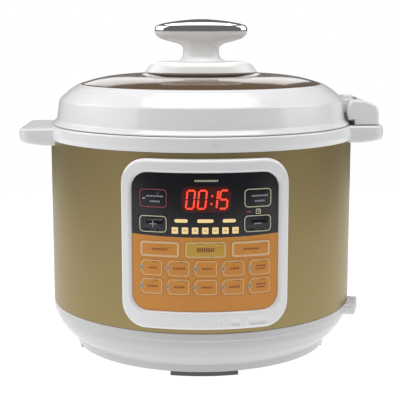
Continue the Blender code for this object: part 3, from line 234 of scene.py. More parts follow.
def facing_in(corners, outer=True):
    """The loop in the direction that has the material on its left."""
    return corners if (turning(corners) > 0.0) == outer else corners[::-1]


def turning(loop):
    """Twice the loop's area, positive when it runs anticlockwise."""
    return sum(p[0] * q[1] - q[0] * p[1] for p, q in zip(loop, loop[1:] + loop[:1]))


def dense(loop, counts):
    """The loop with each of its sides cut into that many parts."""
    out = []
    for (a, b), (c, d), count in zip(loop, loop[1:] + loop[:1], counts):
        out += [(a + (c - a) * k / count, b + (d - b) * k / count) for k in range(count)]
    return out


def cuts(loop, step):
    """How many parts each side of the loop needs so that none is longer than step."""
    return [max(1, math.ceil(math.hypot(q[0] - p[0], q[1] - p[1]) / step))
            for p, q in zip(loop, loop[1:] + loop[:1])]


def moved_in(corners, distance):
    """Moves the sides of a loop to the left of the direction of travel, and its corner radii with them."""
    points = np.array([corner[:2] for corner in corners], float)
    ahead = np.roll(points, -1, axis=0) - points
    ahead /= np.linalg.norm(ahead, axis=1)[:, None]
    left = np.stack([-ahead[:, 1], ahead[:, 0]], axis=1)
    behind = np.roll(left, 1, axis=0)
    share = 1.0 + (left * behind).sum(axis=1)
    points = points + distance * (left + behind) / np.maximum(share, 0.3)[:, None]
    out = []
    for k, (corner, (a, b)) in enumerate(zip(corners, points)):
        radius = corner[2] if len(corner) > 2 else 0.0
        if radius:
            turn = behind[k][0] * left[k][1] - behind[k][1] * left[k][0]
            radius = max(radius - math.copysign(distance, turn), 0.00003)
        out.append((a, b, radius))
    return out


def inside(points, loops):
    """Which points lie inside the first loop and outside the others."""
    crossings = np.zeros(len(points), int)
    for loop in loops:
        for (ax, ay), (bx, by) in zip(loop, np.roll(loop, -1, axis=0)):
            spans = (ay > points[:, 1]) != (by > points[:, 1])
            if spans.any():
                crossings += spans & (points[:, 0] < (bx - ax) * (points[:, 1] - ay) / (by - ay) + ax)
    return crossings % 2 == 1


def filled(loops, spacing):
    """Triangles that fill the loops, with extra points on a grid: (extra points, triangles)."""
    outline = np.concatenate(loops)
    edges, start = [], 0
    for loop in loops:
        count = len(loop)
        edges += [(start + k, start + (k + 1) % count) for k in range(count)]
        start += count
    extra = np.zeros((0, 2))
    if spacing:
        low, high = outline.min(0), outline.max(0)
        across = np.linspace(low[0], high[0], max(3, round((high[0] - low[0]) / spacing)))[1:-1]
        up = np.linspace(low[1], high[1], max(3, round((high[1] - low[1]) / (2.0 * spacing))))[1:-1]
        grid = np.array([(a, b) for a in across for b in up])
        grid = grid[inside(grid, loops)]
        near = [np.abs(outline - point).sum(axis=1).min() for point in grid]
        extra = grid[np.array(near) > 0.45 * spacing] if len(grid) else extra
    middle = outline.mean(axis=0)
    everything = [Vector(point) for point in (np.concatenate([outline, extra]) - middle) / MM]
    points, _, faces, origin, _, _ = delaunay_2d_cdt(everything, edges, [], 0, 1e-6)
    faces = np.array([list(face) for face in faces])
    corners = np.array([list(point) for point in points])[faces]
    first, second = corners[:, 1] - corners[:, 0], corners[:, 2] - corners[:, 0]
    clockwise = first[:, 0] * second[:, 1] < first[:, 1] * second[:, 0]
    faces[clockwise] = faces[clockwise][:, ::-1]
    centres = corners.mean(axis=1) * MM + middle
    index = np.array([found[0] for found in origin])
    return extra, index[faces[inside(centres, loops)]]


def on_z(a, b, d):
    return a, b, d


def on_y(a, b, d):
    return a, d, b


def on_front(a, b, d):
    return d * math.sin(a / WRAP_RADIUS), -d * math.cos(a / WRAP_RADIUS), b


def on_back(a, b, d):
    return -d * math.sin(a / WRAP_RADIUS), d * math.cos(a / WRAP_RADIUS), b


def weighted(obj):
    """Lets large faces set the shading, so that slivers beside them do not show."""
    shading = obj.modifiers.new("shading", "WEIGHTED_NORMAL")
    shading.mode = "FACE_AREA"
    shading.keep_sharp = True


FACES_OUT = 0.97            # cosine to the outward direction above which a face is part of the round front
SAME_SIDE = 0.77            # cosine between two faces above which they shade as one


def shade_wrapped(mesh):
    """Sets the normals of a plate that is bent round the pot's axis, so that its face is truly round."""
    around = [[] for _ in mesh.vertices]
    for face in mesh.polygons:
        for index in face.vertices:
            around[index].append(face.index)
    units = [face.normal.copy() for face in mesh.polygons]
    weights = [face.area for face in mesh.polygons]
    normals = []
    for face, own in zip(mesh.polygons, units):
        for index in face.vertices:
            place = mesh.vertices[index].co
            outward = Vector((place.x, place.y, 0.0)).normalized()
            if abs(own.dot(outward)) > FACES_OUT:
                normals.append(outward * math.copysign(1.0, own.dot(outward)))
                continue
            near = [j for j in around[index] if units[j].dot(own) > SAME_SIDE]
            total = sum((units[j] * weights[j] for j in near), Vector((0.0, 0.0, 0.0)))
            normals.append(total.normalized() if total.length > 0.0 else own)
    mesh.normals_split_custom_set(normals)


class Shape:
    """A mesh put together from closed forms, each with its own material."""

    def __init__(self):
        self.points, self.faces, self.kinds = [], [], []
        self.wrapped = False

    def add(self, points, faces, kind=0):
        corners = np.array([tuple(point) for point in points])
        middle = corners.mean(axis=0)
        fans = [(face[0], face[k], face[k + 1]) for face in faces for k in range(1, len(face) - 1)]
        a, b, c = (corners[np.array(fans)[:, k]] - middle for k in range(3))
        if (a * np.cross(b, c)).sum() < 0.0:
            faces = [tuple(face)[::-1] for face in faces]
        start = len(self.points)
        self.points += [tuple(point) for point in points]
        self.faces += [tuple(start + int(k) for k in face) for face in faces]
        self.kinds += [kind] * len(faces)
        return self

    def lathe(self, outline, kind=0, steps=ROUND, centre=(0.0, 0.0)):
        """Turns a closed outline of (radius, height) points about a vertical axis."""
        points, columns = [], []
        for radius, height in outline:
            if radius < 1e-7:
                columns.append([len(points)] * steps)
                points.append((centre[0], centre[1], height))
                continue
            columns.append(list(range(len(points), len(points) + steps)))
            for k in range(steps):
                points.append((*polar(radius, math.tau * k / steps, centre), height))
        faces = []
        for first, second in zip(columns, columns[1:] + columns[:1]):
            if first[0] == first[-1] and second[0] == second[-1]:
                continue
            for k in range(steps):
                j = (k + 1) % steps
                corners = [first[k], first[j], second[j], second[k]]
                faces.append(list(dict.fromkeys(corners)))
        return self.add(points, faces, kind)

    def solid(self, loops, low, high, place=on_z, ease_low=0.0, ease_high=0.0, steps=3, kind=0, spacing=0.0,
              step=0.003, corner_steps=6, ease_holes=1.0):
        """A plate with holes between two depths and with rounded edges.

        place is the function of (a, b, depth) that puts it where it goes.
        """
        self.wrapped |= not self.points and place in (on_front, on_back)
        loops = [facing_in(loop, k == 0) for k, loop in enumerate(loops)]
        parts = [cuts(eased(loop, corner_steps), step) for loop in loops]
        rows = []
        for base, ease, sign in ((low, ease_low, 1.0), (high, ease_high, -1.0)):
            part = [(base, 0.0)]
            if ease:
                turns = [math.pi / 2.0 * k / steps for k in range(steps + 1)]
                part = [(base + sign * ease * (1.0 - math.cos(t)), ease * (1.0 - math.sin(t))) for t in turns]
            rows += part if sign > 0.0 else part[::-1]
        points, faces, starts, levels = [], [], [], []
        for depth, inset in rows:
            starts.append(len(points))
            insets = [inset] + [inset * ease_holes] * (len(loops) - 1)
            levels.append([dense(eased(moved_in(loop, shift), corner_steps), part)
                           for loop, part, shift in zip(loops, parts, insets)])
            for loop in levels[-1]:
                points += [place(a, b, depth) for a, b in loop]
        for lower, upper in zip(starts, starts[1:]):
            offset = 0
            for loop in levels[0]:
                count = len(loop)
                for k in range(count):
                    j = (k + 1) % count
                    faces.append((lower + offset + k, lower + offset + j, upper + offset + j,
                                  upper + offset + k))
                offset += count
        total = sum(len(loop) for loop in levels[0])
        for k, start in ((0, starts[0]), (-1, starts[-1])):
            extra, triangles = filled(levels[k], spacing)
            depth = rows[k][0]
            shift = len(points) - total
            points += [place(a, b, depth) for a, b in extra]
            if k == 0:
                triangles = triangles[:, ::-1]
            faces += [[start + j if j < total else shift + j for j in triangle] for triangle in triangles]
        return self.add(points, faces, kind)

    def loft(self, rings, kind=0):
        """Skins rings of as many points each, and closes both ends with a fan."""
        count = len(rings[0])
        points = [point for ring in rings for point in ring]
        faces = []
        for k in range(len(rings) - 1):
            for j in range(count):
                i = (j + 1) % count
                faces.append((k * count + j, k * count + i, (k + 1) * count + i, (k + 1) * count + j))
        for ring, start, ahead in ((rings[0], 0, 0), (rings[-1], (len(rings) - 1) * count, 1)):
            points.append(tuple(np.mean(np.array(ring), axis=0)))
            for j in range(count):
                faces.append((start + (j + 1 - ahead) % count, start + (j + ahead) % count, len(points) - 1))
        return self.add(points, faces, kind)

    def piece(self, name, body, materials, slot, *nodes, sharp=SHARP):
        """Makes the object, which rides on a body and stands for CAD nodes."""
        mesh = bpy.data.meshes.new(name)
        mesh.from_pydata(self.points, [], self.faces)
        mesh.polygons.foreach_set("material_index", self.kinds)
        mesh.shade_smooth()
        mesh.set_sharp_from_angle(angle=math.radians(sharp))
        if self.wrapped:
            shade_wrapped(mesh)
        for made in materials if isinstance(materials, list) else [materials]:
            mesh.materials.append(made)
        obj = linked(name, mesh)
        if not self.wrapped:
            weighted(obj)
        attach(obj, body)
        if nodes:
            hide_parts(*nodes)
        return obj


def rounded(low_a, low_b, high_a, high_b, radius):
    return [(low_a, low_b, radius), (high_a, low_b, radius), (high_a, high_b, radius),
            (low_a, high_b, radius)]


def lengthened(outline, step=0.012):
    """A turned outline with long sides cut up, so that its facets stay near square."""
    return dense(outline, cuts(outline, step))


def circle(radius, centre=(0.0, 0.0), steps=48):
    return [polar(radius, math.tau * k / steps, centre) for k in range(steps)]


def sector(inner, outer, middle, half, steps=16):
    """Outline of part of a flat ring, in degrees."""
    turns = [math.radians(middle - half + 2.0 * half * k / steps) for k in range(steps + 1)]
    return [polar(outer, t) for t in turns] + [polar(inner, t) for t in reversed(turns)]


def smooth(rows, per=5):
    """More rows between the given ones, by cubics that never overshoot."""
    rows = np.array(rows, float)
    steps = np.diff(rows, axis=0)
    slopes = np.zeros_like(rows)
    for k in range(1, len(rows) - 1):
        product = steps[k - 1] * steps[k]
        total = steps[k - 1] + steps[k]
        slopes[k] = np.where(product > 0.0, 2.0 * product / np.where(total == 0.0, 1.0, total), 0.0)
    slopes[0], slopes[-1] = steps[0], steps[-1]
    out = []
    for k, step in enumerate(steps):
        for j in range(per):
            t = j / per
            out.append(rows[k] + slopes[k] * (t ** 3 - 2.0 * t ** 2 + t)
                       + step * (3.0 * t ** 2 - 2.0 * t ** 3) + slopes[k + 1] * (t ** 3 - t ** 2))
    return out + [rows[-1]]


def oval(half_a, half_b, power, height, steps=88):
    out = []
    for k in range(steps):
        angle = math.tau * k / steps
        across, along = math.cos(angle), math.sin(angle)
        out.append((math.copysign(abs(across) ** (2.0 / power), across) * half_a,
                    math.copysign(abs(along) ** (2.0 / power), along) * half_b, height))
    return out


def keep(node, made, bevel=0.0):
    """Shows a CAD node as it is, with its material, and softens its edges."""
    obj = NODES[node]
    obj.data.materials.clear()
    obj.data.materials.append(made)
    if bevel:
        edge = obj.modifiers.new("edge", "BEVEL")
        edge.width = bevel
        edge.segments = 2
        edge.limit_method = "ANGLE"
        edge.angle_limit = math.radians(50.0)


# ---------------- casing
def build_casing():
    base = in_mm([(120.0, 4.5, 0.6), (121.2, 11.6, 1.2), (122.4, 12.4, 1.2), (131.5, 20.5, 30.0),
                  (139.0, 31.5, 20.0),
                  (140.6, 38.2, 0.8), (142.0, 39.3, 0.7), (142.0, 45.5, 0.9), (140.4, 45.5), (140.4, 52.0),
                  (138.5, 52.0), (138.5, 40.0), (118.0, 13.3), (118.0, 10.8), (105.5, 10.8), (105.5, 7.8),
                  (115.5, 7.8), (115.5, 4.5, 0.6)])
    Shape().lathe(eased(base)).piece("base_soft", "root", SHADED_BASE_WHITE, "white_plastic", "base_housing")
    plate = in_mm([(0.0, 4.5), (114.8, 4.5, 0.8), (114.8, 7.5, 0.8), (0.0, 7.5)])
    Shape().lathe(eased(plate)).piece("bottom_cover", "root", SHADED_BASE_WHITE, "white_plastic", "bottom_plate")
    for side, middle in (("front", -90.0), ("right", 0.0), ("back", 90.0), ("left", 180.0)):
        foot = sector(0.1085, 0.1185, middle, 14.6)
        Shape().solid([foot], 0.0, 0.0042, ease_low=0.0009).piece(
            "foot_pad_" + side, "root", RUBBER, "rubber_feet", "foot_" + side)
    shell = in_mm([(141.0, 45.8), (142.0, 45.8, 0.4), (142.0, 200.0, 0.4), (141.0, 200.0)])
    Shape().lathe(lengthened(eased(shell, 3)), steps=216).piece("shell_skin", "root", GOLD, "gold_shell",
                                                                "outer_shell")
    ring = in_mm([(143.1, 200.3, 0.8), (144.0, 205.0, 4.0), (143.4, 213.0, 1.6), (128.7, 213.0, 0.4),
                  (128.7, 210.5),
                  (138.3, 210.5), (138.3, 203.7), (119.6, 203.7), (119.6, 201.2), (138.3, 201.2),
                  (138.3, 190.3),
                  (140.5, 190.3), (140.5, 200.3)])
    rim = Shape().lathe(eased(ring))
    mark = in_mm([(3.2, 204.6, 0.6), (13.4, 204.6, 0.6), (8.3, 210.9, 0.6)])
    hole = in_mm([(5.1, 205.6, 0.3), (11.5, 205.6, 0.3), (8.3, 209.6, 0.3)])
    rim.solid([mark, hole], 0.1434, 0.1443, on_front, 0.0, 0.0002, 2)
    rim.piece("rim_ring", "root", WHITE, "white_plastic", "upper_ring")


def handle_rings(side, top):
    """Sections of a side grip from inside the casing to its tip.

    The top is flat, the underside rises outwards, and the corners are round in plan.
    """
    rings = []
    reach, half, corner, edge = 0.1675, 0.0470, 0.0100, 0.0022
    depth, lift, lift_from, tip = 0.0155, 0.0030, 0.1450, 0.0115
    stations = [0.1340, 0.1400, 0.1445, 0.1480, 0.1520]
    stations += [reach - tip * math.cos(math.radians(90.0 * k / 14.0)) for k in range(0, 15)]
    for x in sorted(set(stations)):
        out = max(0.0, x - (reach - corner)) / corner
        width = half - corner * (1.0 - math.sqrt(max(0.0, 1.0 - out * out)))
        round_off = max(0.0, x - (reach - edge)) / edge
        sink = edge * (1.0 - math.sqrt(max(0.0, 1.0 - round_off * round_off)))
        rise = lift * min(1.0, max(0.0, x - lift_from) / (reach - lift_from)) ** 1.2
        low = top - depth + rise + sink * 0.9
        high = top - sink
        section = eased([(-width, low, 0.0042), (width, low, 0.0042), (width, high, 0.0020),
                         (-width, high, 0.0020)], 6)
        rings.append([(side * x, y, z) for y, z in section])
    return rings


def build_handles():
    for name, side, top in (("left", -1.0, RING_TOP - 0.0018), ("right", 1.0, RING_TOP)):
        Shape().loft(handle_rings(side, top)).piece(name + "_grip", "root", WHITE, "white_plastic",
                                                    name + "_handle")


def build_hinge():
    low, top = RING_TOP + 0.0003, HINGE_TOP
    clear = 0.0188              # the lid's arm swings inside this radius
    swing = [polar(clear, math.radians(t), HINGE) for t in range(202, 141, -10)]
    side = [(0.1411, low, 0.0006), (0.1411, RING_TOP + 0.0055, 0.0008), *swing,
            (0.1495, top - 0.0004, 0.0060),
            (0.1608, top - 0.0050, 0.0050), (0.1630, top - 0.0115, 0.0040), (0.1630, low, 0.0006)]
    housing = Shape()
    housing.solid([side], -0.0400, -0.0285, on_y, 0.0024, 0.0006, 5)
    housing.solid([side, circle(0.0028, HINGE)], 0.0285, 0.0400, on_y, 0.0006, 0.0017, ease_holes=0.0)
    floor = rounded(0.1413, low, 0.1628, low + 0.0022, 0.0003)
    housing.solid([floor], -0.0290, 0.0290, on_y)
    housing.piece("hinge_cheeks", "root", WHITE, "white_plastic", "hinge_housing")


# ---------------- lid
def build_lid():
    cover = in_mm([(133.8, 213.5, 0.3), (140.3, 213.5, 0.5), (140.3, 214.6, 0.8), (136.2, 218.0, 2.5),
                   (133.4, 236.2, 3.5), (124.7, 243.9, 10.0), (118.6, 248.1, 10.0), (114.6, 250.2, 0.8),
                   (113.3, 250.2, 0.3), (113.3, 246.5), (107.5, 246.5), (107.5, 244.0), (119.0, 244.0),
                   (128.8, 236.4), (128.8, 234.5), (13.5, 234.5), (13.5, 232.5), (129.4, 232.5),
                   (131.8, 228.0),
                   (133.8, 219.0)])
    Shape().lathe(eased(cover)).piece("lid_shell", "lid", WHITE, "white_plastic", "lid_cover")
    top = HINGE_TOP
    barrel = [polar(EYE_RADIUS, math.radians(t), HINGE) for t in range(-135, 61, 13)]
    side = [(0.1305, HINGE_Z - 0.0010), (HINGE_X - 0.0110, HINGE_Z - 0.0010, 0.002), *barrel,
            (HINGE_X - 0.0070, top - 0.0015, 0.006), (HINGE_X - 0.0140, top, 0.010), (0.1305, top - 0.0003)]
    arm = Shape().solid([side, circle(0.0030, HINGE)], -0.0280, 0.0280, on_y, 0.0008, 0.0008,
                        ease_holes=0.0)
    arm.piece("lid_arm", "lid", WHITE, "white_plastic")


def window_height(radius):
    """Top of the smoked window: a low dome with a dish round the knob."""
    dish, crest, rim = 0.0440, 0.0600, 0.1130
    top, sunk, fall = 0.2582, 0.0035, 0.0080
    if radius < dish:
        return top - sunk
    if radius < crest:
        t = (radius - dish) / (crest - dish)
        return top - sunk + sunk * t * t * (3.0 - 2.0 * t)
    return top - fall * ((radius - crest) / (rim - crest)) ** 2.4


def hollow(obj, shapes):
    """Cuts closed forms out of a piece."""
    obj.modifiers.clear()
    for shape in shapes:
        mesh = bpy.data.meshes.new("cutter")
        mesh.from_pydata(shape.points, [], shape.faces)
        cutter = linked("cutter", mesh)
        modifier = obj.modifiers.new("cut", "BOOLEAN")
        modifier.object = cutter
        modifier.solver = "EXACT"
        graph = bpy.context.evaluated_depsgraph_get()
        cut = bpy.data.meshes.new_from_object(obj.evaluated_get(graph), depsgraph=graph)
        obj.modifiers.clear()
        obj.data = cut
        bpy.data.objects.remove(cutter)
    weighted(obj)


VENT = (0.0, 0.0700)
FLOAT = polar(0.0720, math.radians(130.0))


def build_window():
    radii = [0.0130] + [0.0130 + 0.0025 * k for k in range(1, 40)] + [0.1113]
    top = [(r, window_height(r)) for r in radii]
    outline = top + in_mm([(112.4, 250.4), (112.9, 249.9), (113.0, 249.2), (113.0, 246.8)])
    outline += [(r, max(0.2468, window_height(r) - 0.0024)) for r in reversed(radii)]
    window = Shape().lathe(outline).piece("window_dome", "lid", SMOKED, "smoked_window", "lid_window")
    hollow(window, [Shape().solid([circle(0.0135, VENT)], 0.240, 0.270),
                    Shape().solid([circle(0.0032, FLOAT)], 0.240, 0.270)])
    window.data.set_sharp_from_angle(angle=math.radians(SHARP))


def build_lid_inside():
    lid = in_mm([(0.0, 221.0), (60.0, 220.3, 20.0), (95.6, 216.8, 4.0), (99.6, 211.8, 1.0),
                 (115.5, 211.8, 0.3),
                 (115.5, 213.8, 0.3), (101.1, 213.8, 1.0), (96.6, 218.8, 4.0), (60.0, 222.3, 20.0),
                 (11.5, 222.9),
                 (11.5, 226.7), (0.0, 226.7)])
    Shape().lathe(eased(lid), steps=INNER_ROUND).piece("inner_lid", "lid", ALUMINIUM, "aluminium",
                                                       "pressure_lid")
    gasket = in_mm([(104.5, 207.6, 0.6), (107.0, 207.9, 0.4), (110.0, 207.6, 0.4), (112.6, 207.9, 0.4),
                    (115.0, 207.6, 0.6), (115.0, 211.5, 0.6), (104.5, 211.5, 0.6)])
    Shape().lathe(eased(gasket, 4), steps=INNER_ROUND).piece("sealing_ring", "lid", SILICONE, "silicone",
                                                             "lid_gasket")
    plate = in_mm([(0.0, 208.0), (30.0, 208.0), (31.5, 208.5), (34.0, 208.5), (35.5, 208.0),
                   (99.0, 208.0, 2.0),
                   (103.4, 210.4, 1.0), (103.4, 211.5, 0.2), (101.0, 211.5, 0.2), (98.0, 209.4, 1.5),
                   (0.0, 209.4)])
    disc = Shape().lathe(eased(plate), steps=INNER_ROUND).piece("seal_disc", "lid", STEEL, "steel",
                                                                "gasket_plate")
    hollow(disc, [Shape().solid([circle(0.0055, VENT)], 0.200, 0.2118),
                  Shape().solid([circle(0.0050, FLOAT)], 0.200, 0.2118)])
    disc.data.set_sharp_from_angle(angle=math.radians(SHARP))
    ring = in_mm([(116.0, 207.8, 0.2), (117.5, 207.8, 0.2), (117.5, 229.5, 0.5), (109.0, 229.5),
                  (109.0, 227.0),
                  (116.0, 227.0)])
    lock = Shape().lathe(eased(ring), steps=INNER_ROUND)
    for k in range(6):
        lock.solid([sector(0.1167, 0.1255, 60.0 * k, 12.0)], 0.2079, 0.2123, on_z, 0.0006, 0.0006)
    spokes = circle(0.0280, steps=72)
    lock.solid([spokes], 0.2270, 0.2295)
    for k in range(3):
        lock.solid([sector(0.0270, 0.1095, 30.0 + 120.0 * k, 8.0)], 0.2270, 0.2295)
    lock.piece("locking_ring", "knob", STEEL, "steel", "lock_ring")


def build_valves():
    weight = in_mm([(4.5, 246.0), (10.0, 246.0, 0.4), (10.0, 259.2, 0.3), (12.5, 259.2, 0.8),
                    (12.5, 266.2, 1.6),
                    (8.0, 266.2, 0.5), (7.2, 265.6, 0.4), (0.0, 265.6), (0.0, 260.7), (4.5, 260.7)])
    Shape().lathe(eased(weight, 5), steps=64, centre=VENT).piece(
        "valve_weight", "steam_valve", BLACK_PLASTIC, "black_plastic", "steam_valve")
    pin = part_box("float_valve")
    low, high = pin[0].z, pin[1].z
    stem = [(0.0, low), (0.0045, low, 0.0003), (0.0045, low + 0.0015, 0.0003), (0.0025, low + 0.0015),
            (0.0025, 0.2232),
            (0.0045, 0.2232, 0.0003), (0.0045, 0.2245, 0.0003), (0.0025, 0.2245), (0.0025, high, 0.0008),
            (0.0, high)]
    Shape().lathe(eased(stem, 4), steps=40, centre=FLOAT).piece("float_pin", "float_valve", STEEL, "steel",
                                                                "float_valve")


# ---------------- knob
def build_knob():
    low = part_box("knob_plate")[0].z
    rows = [(0.0, 38.0, 23.5), (0.4, 41.0, 25.5), (1.4, 46.0, 28.6), (2.8, 51.0, 31.8), (3.8, 52.7, 32.8),
            (4.4, 53.0, 33.0), (5.2, 52.5, 32.7), (10.6, 48.2, 30.0), (12.4, 45.9, 28.3), (13.4, 43.6, 26.4),
            (13.8, 40.5, 23.8)]
    rings = [oval(a * MM, b * MM, 2.3, low + z * MM) for z, a, b in smooth(rows)]
    rings += [oval(30.0 * MM, 17.0 * MM, 2.2, low + 13.8 * MM)]
    Shape().loft(rings).piece("knob_base", "knob", KNOB_WHITE, "white_plastic", "knob_plate")
    foot = low + 0.0141
    hub = [(0.2298, 11.5, 11.5), (0.2552, 11.5, 11.5), (0.2552, 18.0, 18.0), (0.2561, 18.0, 18.0)]
    rings = [oval(a * MM, b * MM, 2.0, z) for z, a, b in hub]
    rings += [oval(11.5 * MM, 11.5 * MM, 2.0, 0.2561), oval(11.5 * MM, 11.5 * MM, 2.0, foot)]
    rows = [(0.0, 25.7, 18.2, 2.2), (0.8, 23.6, 16.6, 2.25), (1.8, 21.4, 15.1, 2.3), (3.4, 18.6, 13.4, 2.35),
            (5.4, 17.3, 12.7, 2.4), (9.0, 16.9, 12.4, 2.4), (13.0, 17.2, 12.5, 2.4), (16.0, 20.2, 12.8, 2.4),
            (18.0, 26.6, 13.3, 2.4), (19.8, 33.6, 13.8, 2.4), (21.4, 38.0, 14.1, 2.4),
            (23.6, 41.4, 14.5, 2.4),
            (25.6, 43.0, 14.7, 2.4), (28.1, 43.4, 14.7, 2.4)]
    rings += [oval(a * MM, b * MM, p, foot + z * MM) for z, a, b, p in smooth(rows)]
    Shape().loft(rings).piece("knob_grip", "knob", KNOB_WHITE, "white_plastic", "knob_handle")
    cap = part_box("knob_cap")[0].z
    rows = [(0.0, 43.0, 14.3), (0.25, 43.6, 14.9), (1.0, 43.6, 14.9), (3.3, 43.4, 14.7), (5.5, 41.7, 14.1),
            (7.2, 38.0, 12.8), (9.2, 28.8, 10.0), (10.7, 17.8, 6.6), (11.5, 8.0, 3.2), (11.7, 0.6, 0.3)]
    rings = [oval(a * MM, b * MM, 2.35, cap + z * MM) for z, a, b in smooth(rows, 6)]
    Shape().loft(rings).piece("knob_crown", "knob", CHROME, "chrome", "knob_cap")


# ---------------- control panel
PANEL_FACE = 0.1475
PANEL_HALF = 0.0639         # half of the films' width
SPLIT = 0.1310              # keys above this height are on the black half
INK_DEPTH = 0.00030         # how far a printed mark reaches in
LEAN = 0.10                 # how much the digits lean, per unit of height
INK_LOW, INK_HIGH = 0.14745, 0.14758
KEY_INK_HIGH = 0.14788


def split_height(along):
    """Height of the line between the black and the orange half, which curves up at its ends."""
    return 0.1302 + 0.0017 * (abs(along) / PANEL_HALF) ** 2.2


def key_places():
    """Every key as (name, middle along the panel, middle height, width, height)."""
    places = [("key_cancel", -44.6, 162.7, 25.0, 16.5), ("key_delay", 44.8, 162.7, 25.0, 16.5),
              ("key_plus", -44.8, 141.0, 25.0, 15.0), ("key_minus", 44.8, 141.0, 25.0, 15.0)]
    out = [(name, a * MM, b * MM, w * MM, h * MM) for name, a, b, w, h in places]
    for k, name in enumerate(("key_browse", "key_start", "key_warm")):
        out.append((name, (k - 1) * 0.0391, 0.1197, 0.0348, 0.0141))
    for k in range(10):
        out.append((f"key_program_{k + 1}", (k % 5 - 2) * 0.0233, (0.1036, 0.0877)[k // 5], 0.0203, 0.0141))
    return out


def ink_ring(shape, loop, width, kind, high=KEY_INK_HIGH):
    shape.solid([loop, moved_in(facing_in(loop), width)], high - INK_DEPTH, high, on_front, kind=kind)


def ink_bar(shape, along, height, length, tall, kind, high=KEY_INK_HIGH, slant=0.0):
    half, rise = length / 2.0, tall / 2.0
    loop = [(along - half - slant, height - rise), (along + half - slant, height - rise),
            (along + half + slant, height + rise), (along - half + slant, height + rise)]
    shape.solid([loop], high - INK_DEPTH, high, on_front, kind=kind)


def ink_row(shape, along, height, length, tall, kind, high=KEY_INK_HIGH):
    """A row of small plain blocks that stands where a printed label would be."""
    count = max(3, round(length / 0.0019))
    for k in range(count):
        middle = along - length / 2.0 + length * (k + 0.5) / count
        ink_bar(shape, middle, height, 0.66 * length / count, tall, kind, high)


def build_key(name, along, height, width, tall):
    upper = height > SPLIT
    kinds = [BLACK_GLOSS if upper else (AMBER if name == "key_start" else ORANGE), PALE_INK, BROWN_INK, LENS]
    left, right = along - width / 2.0 - 0.0001, along + width / 2.0 + 0.0001
    low, high = height - tall / 2.0 - 0.0001, height + tall / 2.0 + 0.0001
    cap = rounded(left, low, right, high, 0.0026)
    key = Shape().solid([cap], 0.1452, 0.1478, on_front, 0.0, 0.00025, 2, spacing=0.003)
    inset = 0.0006
    if name.startswith("key_program"):
        loop = [(left + 0.0034, low + inset, 0.0020), (right - inset, low + inset, 0.0024),
                (right - inset, high - inset, 0.0024), (left + 0.0034, high - inset, 0.0020),
                (left + 0.0012, high - 0.0042, 0.0020), (left + 0.0012, low + 0.0042, 0.0020)]
        ink_ring(key, loop, 0.00075, 1)
        lens = [(left + 0.0017 + 0.0014 * a, height + 0.0031 * b) for a, b in circle(1.0, steps=24)]
        key.solid([lens], KEY_INK_HIGH - INK_DEPTH, KEY_INK_HIGH + 0.0001, on_front, kind=3)
        ink_bar(key, left + 0.0017, height, 0.0008, 0.0022, 2, KEY_INK_HIGH + 0.0002)
        long = {"1": 0.0072, "2": 0.0104, "3": 0.0088, "4": 0.0080}.get(name[-1], 0.0092)
        if name[-2:] in ("_5", "10"):
            ink_row(key, along + 0.0012, height + 0.0012, 0.0092, 0.0013, 2)
            ink_row(key, along + 0.0012, height - 0.0014, 0.0078, 0.0013, 2)
        else:
            ink_row(key, along + 0.0012, height, long, 0.0015, 2)
    elif not upper:
        loop = rounded(left + inset, low + inset, right - inset, high - inset, 0.0024)
        ink_ring(key, loop, 0.0010 if name == "key_start" else 0.0018, 1)
        if name == "key_start":
            ink_row(key, along, height, 0.0150, 0.0034, 2)
        else:
            ink_row(key, along, height, 0.0140, 0.0016, 2)
    else:
        kinds[1] = RED_INK if name == "key_cancel" else CREAM_INK
        kinds[2] = GREY_INK
        loop = rounded(left + inset, low + inset, right - inset, high - inset, 0.0034)
        ink_ring(key, loop, 0.00070, 1)
        if name == "key_plus":
            ink_bar(key, along, height, 0.0062, 0.0007, 2)
            ink_bar(key, along, height, 0.0007, 0.0062, 2)
        elif name == "key_minus":
            ink_bar(key, along, height, 0.0068, 0.0008, 2)
        else:
            ink_row(key, along + 0.0016, height + 0.0018, 0.0150, 0.0014, 2)
            ink_row(key, along + 0.0016, height - 0.0026, 0.0090, 0.0014, 2)
            if name == "key_cancel":
                ink_bar(key, left + 0.0045, height - 0.0002, 0.0026, 0.0012, 2)
    slot = "black_panel" if upper else ("yellow_key" if name == "key_start" else "orange_panel")
    key.piece(name + "_cap", name, kinds, slot, name)


SEGMENTS = {"a": (0.5, 1.0, True), "g": (0.5, 0.5, True), "d": (0.5, 0.0, True), "f": (0.0, 0.75, False),
            "b": (1.0, 0.75, False), "e": (0.0, 0.25, False), "c": (1.0, 0.25, False)}
DIGITS = {"0": "abcdef", "1": "bc", "5": "afgcd"}


